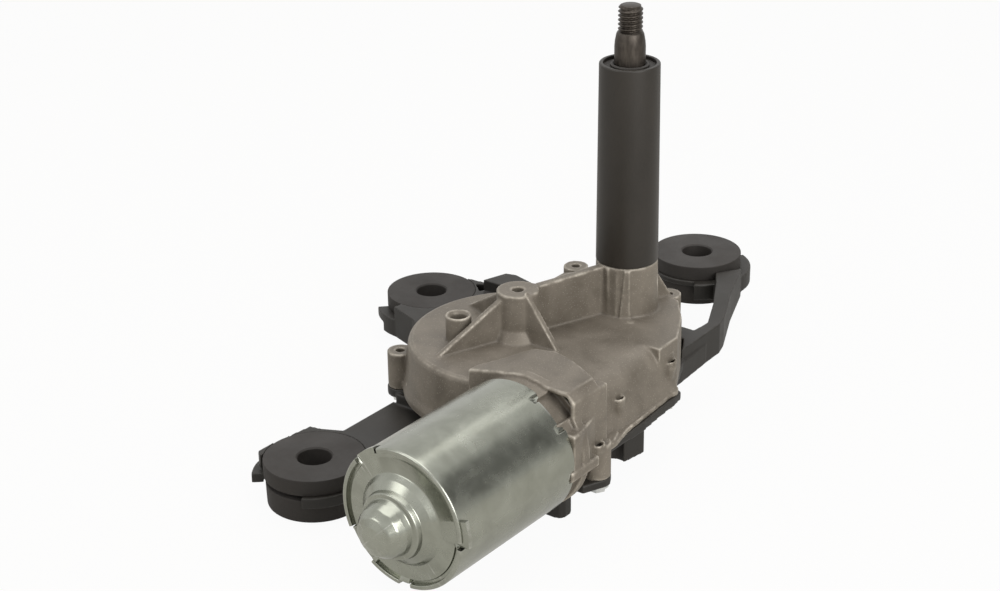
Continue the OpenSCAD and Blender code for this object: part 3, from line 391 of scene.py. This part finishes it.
def addTube(work, centre, inner, outer, low, high):
    sides = ((inner, low), (outer, low), (outer, high), (inner, high))
    rings = [addRing(work, circle(*centre, radius, height)) for radius, height in sides]
    faces = []
    for k in range(len(rings)):
        faces += joinRings(work, rings[k], rings[(k + 1) % len(rings)])
    bmesh.ops.recalc_face_normals(work, faces=faces)


# A casting or moulding with softened edges, made from the CAD node's own shape
def softenNode(node, voxel, rounds, triangles, cuts=(), blocks=(), tubes=()):
    work = bmesh.new()
    work.from_mesh(nodes[node].data)
    bmesh.ops.remove_doubles(work, verts=work.verts, dist=1e-6)
    holder = addObject(node + "Work", meshOf(node + "Soft", work))
    if cuts:
        work = bmesh.new()
        for low, high in cuts:
            addBlock(work, low, high)
        cutter = addObject(node + "Cutter", meshOf(node + "Cutter", work))
        recess = holder.modifiers.new("recess", "BOOLEAN")
        recess.operation, recess.solver, recess.object = "DIFFERENCE", "EXACT", cutter
        holder.data = bakeModifiers(holder)
        bpy.data.objects.remove(cutter)
    if blocks or tubes:
        work = bmesh.new()
        work.from_mesh(holder.data)
        for low, high in blocks:
            addBlock(work, low, high)
        for tube in tubes:
            addTube(work, *tube)
        holder.data = meshOf(node + "Added", work)
    remesh = holder.modifiers.new("skin", "REMESH")
    remesh.mode = "VOXEL"
    remesh.voxel_size = voxel * mm
    remesh.use_smooth_shade = True
    smooth = holder.modifiers.new("fillets", "SMOOTH")
    smooth.factor = 0.5
    smooth.iterations = rounds
    holder.data = bakeModifiers(holder)
    count = sum(len(face.vertices) - 2 for face in holder.data.polygons)
    thin = holder.modifiers.new("thin", "DECIMATE")
    thin.ratio = min(1.0, triangles / count)
    result = bakeModifiers(holder)
    bpy.data.objects.remove(holder)
    for face in result.polygons:
        face.use_smooth = True
    print(node, "softened:", count, "to", len(result.polygons))
    return result


# Corners of an outline, (across, along, rounding), turned into short arcs
def roundOutline(corners, closed=False, steps=5):
    longest = 0.48   # share of a side that one arc may take
    points = []
    count = len(corners)
    for index, (across, along, rounding) in enumerate(corners):
        isEnd = not closed and index in (0, count - 1)
        if isEnd or rounding == 0:
            points.append((across, along))
            continue
        here = Vector((across, along))
        before = Vector(corners[index - 1][:2]) - here
        after = Vector(corners[(index + 1) % count][:2]) - here
        half = before.angle(after) / 2
        reach = min(rounding / math.tan(half), before.length * longest, after.length * longest)
        start, end = here + before.normalized() * reach, here + after.normalized() * reach
        for step in range(steps + 1):
            share = step / steps
            point = start * (1 - share) ** 2 + here * 2 * share * (1 - share) + end * share ** 2
            points.append(tuple(point))
    return points


# Outline turned about an axis: place(angle, across, along) gives each point
def turnOutline(name, outline, steps, place, closed=True, sharp=40):
    work = bmesh.new()
    rings = [addRing(work, [place(step * math.tau / steps, *point) for point in outline])
             for step in range(steps)]
    last = len(outline) if closed else len(outline) - 1
    for step in range(steps):
        one, two = rings[step], rings[(step + 1) % steps]
        for k in range(last):
            n = (k + 1) % len(outline)
            work.faces.new((one[k], two[k], two[n], one[n]))
    bmesh.ops.remove_doubles(work, verts=work.verts, dist=1e-7)
    bmesh.ops.dissolve_degenerate(work, edges=work.edges, dist=1e-8)
    bmesh.ops.recalc_face_normals(work, faces=work.faces)
    mesh = meshOf(name, work)
    mesh.shade_smooth()
    mesh.set_sharp_from_angle(angle=math.radians(sharp))
    return mesh


def aboutVertical(centreX, centreY):
    return lambda angle, across, along: (
        centreX + across * math.cos(angle), centreY + across * math.sin(angle), along)


def aboutMotor(angle, across, along):
    return motorAxis[0] + across * math.cos(angle), along, motorAxis[1] + across * math.sin(angle)


# Corners given by (degrees, radius) about the tower, or about the motor
def roundTower(corners, height):
    return [aboutVertical(0, 0)(math.radians(angle), radius, height) for angle, radius in corners]


def roundMotor(corners, along):
    return [aboutMotor(math.radians(angle), radius, along) for angle, radius in corners]


# Casting

housingShape = {
    "soft": {"voxel": 0.42, "rounds": 3, "triangles": 195000},
    "towerHeights": (-85.2, -68.0),
    "towerRidge": ([(-69, 9), (-67.5, 11.25), (-49.5, 11.25), (-46.7, 9)],
                   [(-61, 9), (-60, 10.75), (-50, 10.75), (-47, 9)]),
    "towerFlat": ([(-104, 9), (-101, 11.1), (-74, 11.0), (-72, 9)],
                  [(-104, 9), (-101, 10.6), (-74, 10.5), (-72, 9)]),
    "ribHeights": (-84.7, -67.4),   # the source's narrow rib, cut away beside the wider ridge
    "rib": ([(-86, 10.72), (-86, 13), (-72, 13), (-72, 10.72)],
            [(-86, 10.28), (-86, 13), (-72, 13), (-72, 10.28)]),
    "slotFills": [   # x, y and z from and to, closing the source's three slots
        ((24.9, 27.6), (-46.0, -38.6), (-94.8, -92.3)),
        ((26.5, 27.75), (-18.9, -13.5), (-92.0, -88.6)),
        ((31.2, 33.95), (-69.3, -62.7), (-98.4, -95.0))],
    "cheek": [(33.4, -82.1), (37.45, -82.1), (37.45, -79.0), (34.0, -66.5), (33.4, -66.5)],
    "cheekHeights": (-101.0, -87.4),
    "bay": [(38, 18.9), (38, 21.6), (52, 21.6), (66, 21.6), (66, 18.9), (52, 18.7)],
    "bayEnds": (-86.0, -74.0),
}
screwHoles = {   # upper ends of the bracket's screw holes in the side wall
    "places": [(27.1, -44.8, -92.3), (27.1, -15.4, -91.1), (33.7, -65.2, -97.5)],
    "radius": 1.95, "rim": 0.7, "depth": 2.4, "past": 0.6, "lap": 0.02,
    "footDrop": 12.0, "footShift": 2.0, "footRadius": 1.6,
}


def upright(corners, heights):
    return tuple([(x, y, z) for x, y in corners] for z in heights)


def slotFill(acrossX, acrossY, heights):
    (x0, x1), (y0, y1) = acrossX, acrossY
    return upright([(x0, y0), (x1, y0), (x1, y1), (x0, y1)], heights)


# A form on the tower, from its outline at the foot and at the head
def onTower(form, heights):
    return tuple(roundTower(corners, height) for corners, height in zip(form, heights))


def housingMesh():
    h, s = housingShape, screwHoles
    blocks = [onTower(h["towerRidge"], h["towerHeights"]),
              onTower(h["towerFlat"], h["towerHeights"])]
    blocks += [slotFill(*fill) for fill in h["slotFills"]]
    blocks.append(upright(h["cheek"], h["cheekHeights"]))
    cuts = [tuple(roundMotor(h["bay"], along) for along in h["bayEnds"]),
            onTower(h["rib"], h["ribHeights"])]
    tubes = []
    for x, y, z in s["places"]:
        outside, bottom = s["radius"] + s["rim"], z - s["depth"]
        cuts.append((circle(x, y, s["radius"], bottom),
                     circle(x, y, s["radius"], z + s["past"])))
        blocks.append((circle(x - s["footShift"], y, s["footRadius"], bottom - s["footDrop"]),
                       circle(x, y, outside, bottom)))
        tubes.append(((x, y), s["radius"], outside, bottom - s["lap"], z))
    return softenNode("gear_housing", **h["soft"], cuts=cuts, blocks=blocks, tubes=tubes)


addPiece("castHousing", housingMesh(), castAluminium, "housing", ["gear_housing"])
print("casting made")


# Bracket

bracketShape = {"voxel": 0.38, "rounds": 2, "triangles": 195000}
addPiece("bracketMoulding", softenNode("mounting_bracket", **bracketShape),
         bracketPlastic, "housing", ["mounting_bracket"])
print("bracket made")


# Grommets

grommetShape = {
    "radius": 16.24, "height": 15.2, "bore": 5.45, "cap": 5.3, "groove": 2.0,
    "grooveRadius": 12.05, "skirt": 15.7, "skirtTaper": 0.2, "boreMouth": 0.5, "steps": 128,
    "places": {   # node, and the middle of the top
        "grommetLeft": ("grommet_left", (-94.5, 11.8, -108.3)),
        "grommetFront": ("grommet_front", (-43.6, -108.1, -108.3)),
        "grommetRight": ("grommet_right", (-22.2, 79.6, -97.8))},
}


def grommetMesh(name, x, y, top):
    g = grommetShape
    low, capLow = top - g["height"], top - g["cap"]
    grooveLow = capLow - g["groove"]
    outline = roundOutline([
        (g["bore"], low, 0.4), (g["skirt"] - g["skirtTaper"], low, 0.9),
        (g["skirt"], grooveLow, 0.4), (g["grooveRadius"], grooveLow, 0.2),
        (g["grooveRadius"], capLow, 0.2), (g["radius"], capLow, 0.3), (g["radius"], top, 0.32),
        (g["bore"] + g["boreMouth"], top, 0.25), (g["bore"], top - g["boreMouth"], 0.3)],
        closed=True)
    return turnOutline(name, outline, g["steps"], aboutVertical(x, y))


for name, (node, place) in grommetShape["places"].items():
    addPiece(name, grommetMesh(name, *place), grommetRubber, "housing", [node])
print("grommets made")


# Sleeve, and the seal's lip in its mouth

sleeveShape = {"top": 0.0, "length": 67.3, "topRadius": 9.8, "footRadius": 10.3, "wall": 1.3,
               "footWall": 1.6, "mouthDepth": 5.0, "steps": 160}
sealLipShape = {"bore": 5.08, "radius": 6.25, "crest": 5.5, "foot": -1.6, "shoulder": -0.55,
                "top": -0.25, "mouth": -0.6, "steps": 120}


def sleeveMesh():
    s = sleeveShape
    foot, inner = s["top"] - s["length"], s["topRadius"] - s["wall"]
    outline = roundOutline([
        (s["footRadius"] - s["footWall"], foot, 0.1), (s["footRadius"], foot, 0.35),
        (s["topRadius"], s["top"], 0.9), (inner, s["top"], 0.35),
        (inner, s["top"] - s["mouthDepth"], 0.2)], closed=True)
    return turnOutline("sleeve", outline, s["steps"], aboutVertical(0, 0))


def sealLipMesh():
    s = sealLipShape
    outline = roundOutline([
        (s["bore"], s["foot"], 0), (s["radius"], s["foot"], 0.1),
        (s["radius"], s["shoulder"], 0.25), (s["crest"], s["top"], 0.2),
        (s["bore"], s["mouth"], 0.1)], closed=True)
    return turnOutline("sealLip", outline, s["steps"], aboutVertical(0, 0))


addPiece("sleeve", sleeveMesh(), sleevePlastic, "housing", ["shaft_sleeve"])
addPiece("sealLip", sealLipMesh(), grommetRubber, "housing")
print("sleeve and seal lip made")


# Spindle

spindleShape = {
    "radius": 5.0, "foot": -105.7, "pivotRadius": 3.0, "pivotEnd": -108.3,
    "relief": {"radius": 4.6, "low": -5.1, "top": -0.3, "slope": 0.1},
    "seat": 5.3, "taper": [(4.85, 7.0), (4.65, 8.1), (4.42, 9.3), (4.22, 9.75)],
    "shoulder": 10.0, "shoulderRadius": 4.02, "undercut": 0.12, "threadGap": 0.15,
    "tip": 18.7, "chamfer": 0.9, "noseRound": 0.15, "noseStep": 0.25,
    "threadRadius": 3.95, "rootRadius": 3.2, "rootStep": 0.1,
    "pitch": 1.4, "crestShare": 0.14, "flankShare": 0.72, "runIn": 0.6,
    "steps": 180, "ringsPerPitch": 12,
}
hair = 0.05   # keeps one ring clear of the next


def spindleMesh():
    s, relief = spindleShape, spindleShape["relief"]
    start, tip = s["shoulder"] + s["threadGap"], s["tip"]
    threadEnd, noseStart = tip - s["chamfer"], tip - s["noseRound"]
    neck = s["rootRadius"] + s["rootStep"]
    outline = [(0, s["pivotEnd"]), (s["pivotRadius"], s["pivotEnd"]),
               (s["pivotRadius"], s["foot"]), (s["radius"], s["foot"]),
               (s["radius"], relief["low"]), (relief["radius"], relief["low"]),
               (relief["radius"], relief["top"]), (s["radius"], relief["top"] + relief["slope"]),
               (s["radius"], s["seat"])] + s["taper"]
    outline += [(s["shoulderRadius"], s["shoulder"]), (neck, s["shoulder"] + s["undercut"])]
    height = start
    while height < threadEnd - hair:
        outline.append((s["threadRadius"], height))
        height += s["pitch"] / s["ringsPerPitch"]
    outline += [(s["threadRadius"], threadEnd), (neck, noseStart),
                (s["rootRadius"] - s["noseStep"], tip), (0, tip)]

    def place(angle, across, along):
        if start - 0.01 < along < noseStart - hair and across > 1:   # thread
            turn = (along - start) / s["pitch"] - angle / math.tau
            wave = abs(turn - math.floor(turn + 0.5)) * 2
            cut = min(1.0, max(0.0, (wave - s["crestShare"]) / s["flankShare"]))
            grown = min(1.0, (along - start) / s["runIn"] + 0.5)
            across -= (s["threadRadius"] - s["rootRadius"]) * cut * grown
        return across * math.cos(angle), across * math.sin(angle), along

    return turnOutline("spindle", outline, s["steps"], place, closed=False, sharp=50)


addPiece("spindle", spindleMesh(), spindleSteel, "spindle", ["output_shaft"])
print("spindle made")


# Motor can and its end plate; angles are in degrees about the motor's axis

canShape = {
    "radius": 22.0, "wall": 1.5, "head": -82.2, "end": -136.4, "rimDepth": 2.8,
    "rimCuts": [(354, 360), (113, 139), (205, 237), (266, 277)],
    "lugNotch": {"from": 346.9, "to": 357.1, "depth": 2.1},
    "bay": {"middle": 50, "halfWidth": 15.5, "depth": 2.3, "slope": 1.5},
    "crimp": {"places": [35, 65], "width": 3.6, "length": 4.4, "depth": 0.7,
              "sideSlope": 1.6, "endSlope": 2.2,
              "rings": [1.12, 1.0, 0.85, 0.7, 0.5, 0.3, 0.12]},   # as shares of its length
}
plateShape = {
    "radius": 20.5, "earStart": 20.1, "grooveStart": 19.0, "grooveSlope": 1.3, "edgeDepth": 2.0,
    "face": 0.7, "pressed": 0.5,
    "ears": [(-3, 17, 24.2), (116, 136, 22.3), (207, 235, 20.9)],   # from, to, reach
    "openGroove": [(139, 205), (240, 266), (277, 354)],   # elsewhere the rim is pressed on
    "outline": [   # across, along from the can's end, rounding
        (0, -12.8, 0), (0.5, -12.8, 0), (2.0, -12.78, 0), (3.4, -12.6, 0.8), (6.0, -11.6, 1.6),
        (7.7, -9.4, 2.0), (8.4, -7.0, 1.0), (8.8, -5.0, 0.5), (10.3, -4.7, 0.6),
        (10.7, -2.9, 0.6), (13.0, -1.2, 1.0), (14.4, 0.5, 0.7), (19.2, 0.7, 0.25),
        (19.45, 1.35, 0.1), (20.49, 1.35, 0.1), (20.5, 2.2, 0.1), (13.6, 2.2, 0.5),
        (11.4, -0.2, 0.5), (9.3, -2.6, 0.4), (9.1, -3.4, 0.3), (7.6, -4.4, 0.3),
        (7.2, -7.0, 0.5), (6.4, -9.0, 0.5), (5.0, -10.6, 0.5), (0, -11.6, 0)],
}
canSteps = 720   # half a degree each
ringGap = 0.02   # two rings this close make a sharp step


# The stretch that an angle falls in, if any; it may start below 0, and doesn't run past 360
def within(angle, stretches):
    degrees = math.degrees(angle) % 360
    for stretch in stretches:
        for turn in (0, 360):
            if stretch[0] + turn <= degrees <= stretch[1] + turn:
                return stretch
    return None


# A form pressed down to one level keeps a trace of its depth, so that no points fall together
def pressTo(level, along, measuredFrom, trace=0.01):
    return level + trace * (along - measuredFrom)


def canMesh():
    c, lug, bay, crimp = canShape, canShape["lugNotch"], canShape["bay"], canShape["crimp"]
    outer, inner, end, head = c["radius"], c["radius"] - c["wall"], c["end"], c["head"]
    rimTop, notchLow = end + c["rimDepth"], head - lug["depth"]
    rimStep, notchStep = rimTop - ringGap, notchLow + ringGap
    rings = [head - crimp["length"] * share for share in crimp["rings"]]
    rings = sorted(rings + [notchLow, notchStep])
    outline = roundOutline([
        (inner, head, 0.2), (inner, notchStep, 0), (inner, notchLow, 0), (inner, rimTop, 0),
        (inner, rimStep, 0), (inner, end, 0.3), (outer, end, 0.75), (outer, rimStep, 0),
        (outer, rimTop, 0)] + [(outer, along, 0) for along in rings] + [(outer, head, 0.3)],
        closed=True)

    def place(angle, across, along):
        degrees = math.degrees(angle) % 360
        if along < rimStep + ringGap / 2 and within(angle, c["rimCuts"]):
            along = pressTo(rimStep, along, rimStep, trace=0.02)
        if along > notchLow and lug["from"] < degrees < lug["to"]:
            along = pressTo(notchLow, along, notchLow)
        opened = 1 - ((degrees - bay["middle"]) / bay["halfWidth"]) ** 6
        if opened > 0 and along > head - bay["depth"]:
            along = pressTo(head - bay["depth"] * min(1, opened * bay["slope"]), along, head)
        for middle in crimp["places"]:
            side = 1 - ((degrees - middle) / crimp["width"]) ** 2
            deep = (along - head) / crimp["length"] + 1
            if side > 0 and deep > 0:
                across -= (crimp["depth"] * min(1, side * crimp["sideSlope"])
                           * min(1, deep * crimp["endSlope"]))
        return aboutMotor(angle, across, along)

    return turnOutline("motorCan", outline, canSteps, place)


def plateMesh():
    p, end = plateShape, canShape["end"]
    outline = [(across, end + along) for across, along in roundOutline(p["outline"], steps=6)]

    def place(angle, across, along):
        ear = within(angle, p["ears"])
        if ear and across > p["earStart"]:
            across += ear[2] - p["radius"]
        if across > p["grooveStart"] and along < end + p["edgeDepth"]:
            if ear:
                along = pressTo(end + p["face"], along, end)
            elif not within(angle, p["openGroove"]):
                filled = min(1.0, (across - p["grooveStart"]) / p["grooveSlope"])
                along = pressTo(end + p["face"] - p["pressed"] * filled, along, end)
        return aboutMotor(angle, across, along)

    return turnOutline("endPlate", outline, canSteps, place, closed=False)


addPiece("motorCan", canMesh(), zincPlate, "housing", ["motor_can"])
addPiece("endPlate", plateMesh(), zincPlate, "housing", ["can_end_plate"])
print("motor can made")


# Bracket screws, placed by a Geometry Nodes tree

bracketScrew = {
    "sizes": {"Flange Radius": 3.7, "Flange Height": 0.7, "Head Radius": 2.9,
              "Head Height": 2.2, "Shank Radius": 1.98, "Shank Length": 7.8},
    "corners": {"flange": 48, "head": 6, "shank": 32},
    "places": [(-47.5, -61, -106.4), (-33, 17.3, -106.4), (6, 16.5, -106.4),
               (32.2, -62.7, -113.1), (25.8, -15, -106.4), (25.8, -45, -106.4)],
}


def screwTree():
    tree = bpy.data.node_groups.new("placeScrews", "GeometryNodeTree")
    sockets = tree.interface
    sockets.new_socket(name="Places", in_out="INPUT", socket_type="NodeSocketGeometry")
    for label, value in bracketScrew["sizes"].items():
        socket = sockets.new_socket(name=label, in_out="INPUT", socket_type="NodeSocketFloat")
        socket.default_value = value * mm
    sockets.new_socket(name="Finish", in_out="INPUT", socket_type="NodeSocketMaterial")
    sockets.new_socket(name="Screws", in_out="OUTPUT", socket_type="NodeSocketGeometry")
    entry, leave = addNode(tree, "NodeGroupInput"), addNode(tree, "NodeGroupOutput")
    joined = addNode(tree, "GeometryNodeJoinGeometry")

    def addTurned(radius, height, corners, direction):   # direction: up 1, down -1
        body = addNode(tree, "GeometryNodeMeshCylinder", {"Vertices": corners})
        tree.links.new(entry.outputs[radius], body.inputs["Radius"])
        tree.links.new(entry.outputs[height], body.inputs["Depth"])
        shift = addNode(tree, "ShaderNodeCombineXYZ")
        half = reckon(tree, "MULTIPLY", entry.outputs[height], 0.5 * direction)
        tree.links.new(half, shift.inputs["Z"])
        move = addNode(tree, "GeometryNodeTransform")
        tree.links.new(body.outputs["Mesh"], move.inputs["Geometry"])
        tree.links.new(shift.outputs[0], move.inputs["Translation"])
        tree.links.new(move.outputs[0], joined.inputs[0])

    corners = bracketScrew["corners"]
    addTurned("Flange Radius", "Flange Height", corners["flange"], -1)
    addTurned("Head Radius", "Head Height", corners["head"], -1)
    addTurned("Shank Radius", "Shank Length", corners["shank"], 1)
    onPoints = addNode(tree, "GeometryNodeInstanceOnPoints")
    tree.links.new(entry.outputs["Places"], onPoints.inputs["Points"])
    tree.links.new(joined.outputs[0], onPoints.inputs["Instance"])
    real = addNode(tree, "GeometryNodeRealizeInstances")
    tree.links.new(onPoints.outputs[0], real.inputs[0])
    finish = addNode(tree, "GeometryNodeSetMaterial")
    tree.links.new(real.outputs[0], finish.inputs["Geometry"])
    tree.links.new(entry.outputs["Finish"], finish.inputs["Material"])
    tree.links.new(finish.outputs[0], leave.inputs[0])
    return tree


def screwMesh():
    points = bpy.data.meshes.new("screwPlaces")
    places = [[v * mm for v in place] for place in bracketScrew["places"]]
    points.from_pydata(places, [], [])
    holder = addObject("screwWork", points)
    tree = screwTree()
    modifier = holder.modifiers.new("screws", "NODES")
    modifier.node_group = tree
    for item in tree.interface.items_tree:
        if item.name == "Finish":
            modifier[item.identifier] = screwSteel
    mesh = bakeModifiers(holder)
    bpy.data.objects.remove(holder)
    return mesh


addPiece("bracketScrews", screwMesh(), screwSteel, "housing", ["bracket_screws"])
print("screws placed")


# Finishes of the CAD nodes that keep their own shape

nodeFinishes = {
    sinteredBronze: ["upper_bush", "lower_bush", "end_bearing", "drive_bearing", "tip_bearing"],
    grommetRubber: ["shaft_seal"],
    plainSteel: ["wheel_axle", "wheel_washer", "crank_pin", "output_pinion", "shaft_circlips",
                 "guide_link", "link_pin", "gear_segment", "armature_shaft", "worm",
                 "bearing_clip", "brush_springs"],
    bareCopper: ["contact_springs", "connector_terminals", "contact_disc",
                 "armature_windings", "commutator"],
    coreSheets: ["armature_core"],
    ferriteBlock: ["magnets"],
    bracketPlastic: ["brush_holder"],
    pressedCarbon: ["carbon_brushes"],
    gearPlastic: ["worm_wheel"],
}
for finish, names in nodeFinishes.items():
    for name in names:
        mesh = nodes[name].data
        mesh.materials.clear()
        mesh.materials.append(finish)
print("CAD nodes finished")


# Camera, floor and light, in metres and degrees

cameraView = {"place": (0.34005, -0.50678, 0.19426), "heading": 37.82, "down": 24.3,
              "roll": -0.77, "lens": 72.15, "sensor": 36.0, "farthest": 50.0}


def addCamera():
    v = cameraView
    heading, down, roll = (math.radians(v[key]) for key in ("heading", "down", "roll"))
    forward = Vector((-math.sin(heading) * math.cos(down), math.cos(heading) * math.cos(down),
                      -math.sin(down)))
    right = Vector((math.cos(heading), math.sin(heading), 0))
    up = right.cross(forward)
    across = right * math.cos(roll) + up * math.sin(roll)
    above = up * math.cos(roll) - right * math.sin(roll)
    data = bpy.data.cameras.new("photoCamera")
    data.lens, data.sensor_width, data.clip_end = v["lens"], v["sensor"], v["farthest"]
    camera = addObject("photoCamera", data)
    turn = Matrix((across, above, -forward)).transposed().to_4x4()
    camera.matrix_world = Matrix.Translation(v["place"]) @ turn
    bpy.context.scene.camera = camera


floorLook = {"height": -0.1238, "size": 12.0, "colour": (0.60, 0.57, 0.51), "roughness": 0.9,
             "whitening": 0.95, "mirrored": 0.45}


# Rays that show the background: straight from the camera, by a gloss or through glass
def seenDirectly(tree, path, mirroredShare):
    mirrored = reckon(tree, "MAXIMUM", path.outputs["Is Glossy Ray"],
                      path.outputs["Is Transmission Ray"])
    return reckon(tree, "MAXIMUM", path.outputs["Is Camera Ray"],
                  reckon(tree, "MULTIPLY", mirrored, mirroredShare))


def addFloor():
    look = floorLook
    half, height = look["size"] / 2, look["height"]
    mesh = bpy.data.meshes.new("floor")
    mesh.from_pydata([(-half, -half, height), (half, -half, height), (half, half, height),
                      (-half, half, height)], [], [(0, 1, 2, 3)])
    material = bpy.data.materials.new("paleFloor")
    material.use_nodes = True
    tree = material.node_tree
    shader = tree.nodes["Principled BSDF"]
    shader.inputs["Base Color"].default_value = (*look["colour"], 1)
    shader.inputs["Roughness"].default_value = look["roughness"]
    white = addNode(tree, "ShaderNodeEmission", {"Strength": 1.0})
    path = addNode(tree, "ShaderNodeLightPath")
    seen = reckon(tree, "MULTIPLY", seenDirectly(tree, path, look["mirrored"]),
                  look["whitening"])
    mix = addNode(tree, "ShaderNodeMixShader")
    tree.links.new(seen, mix.inputs[0])
    tree.links.new(shader.outputs[0], mix.inputs[1])
    tree.links.new(white.outputs[0], mix.inputs[2])
    tree.links.new(mix.outputs[0], tree.nodes["Material Output"].inputs["Surface"])
    mesh.materials.append(material)
    addObject("floor", mesh)


lamps = {
    "overhead": {"place": (-0.10, 0.05, 0.75), "size": 0.7, "power": 3.0},
    "rightFront": {"place": (0.72, -0.30, 0.30), "size": 0.5, "power": 5.0},
    "leftFront": {"place": (-0.35, -0.75, 0.40), "size": 0.4, "power": 1.25},
    "behind": {"place": (-0.10, 0.50, 0.46), "size": 0.18, "power": 0.11},
}
lampAim = (-0.01, -0.04, -0.08)


def addLamps():
    for name, lamp in lamps.items():
        data = bpy.data.lights.new(name, "AREA")
        data.energy, data.size = lamp["power"], lamp["size"]
        obj = addObject(name, data)
        obj.location = lamp["place"]
        towards = Vector(lampAim) - obj.location
        obj.rotation_euler = towards.to_track_quat("-Z", "Y").to_euler()


# The screen is a dark patch in the pale world, behind on the right, mirrored in the motor's can
worldLook = {"seen": 0.95, "fill": 0.36, "screen": (0.575, 0.72, 0.388), "screenCore": 14.0,
             "screenEdge": 27.0, "screenDark": 0.22}


def addWorld():
    look = worldLook
    world = bpy.data.worlds.new("studio")
    bpy.context.scene.world = world
    world.use_nodes = True
    tree = world.node_tree
    background = tree.nodes["Background"]
    path = addNode(tree, "ShaderNodeLightPath")
    place = addNode(tree, "ShaderNodeTexCoord")
    towards = addNode(tree, "ShaderNodeVectorMath", {1: Vector(look["screen"]).normalized()},
                      operation="DOT_PRODUCT")
    tree.links.new(place.outputs["Generated"], towards.inputs[0])
    core, edge = (math.cos(math.radians(look[key])) for key in ("screenCore", "screenEdge"))
    shown = spread(tree, towards.outputs["Value"], edge, core, look["seen"],
                   look["seen"] * look["screenDark"])
    strength = addNode(tree, "ShaderNodeMix", {2: look["fill"]}, data_type="FLOAT")
    tree.links.new(seenDirectly(tree, path, 1.0), strength.inputs[0])
    tree.links.new(shown, strength.inputs[3])
    tree.links.new(strength.outputs[0], background.inputs["Strength"])
    background.inputs["Color"].default_value = (1, 1, 1, 1)


addCamera()
addFloor()
addLamps()
addWorld()
bpy.context.scene.view_settings.view_transform = "Standard"
print("camera, floor and light set")
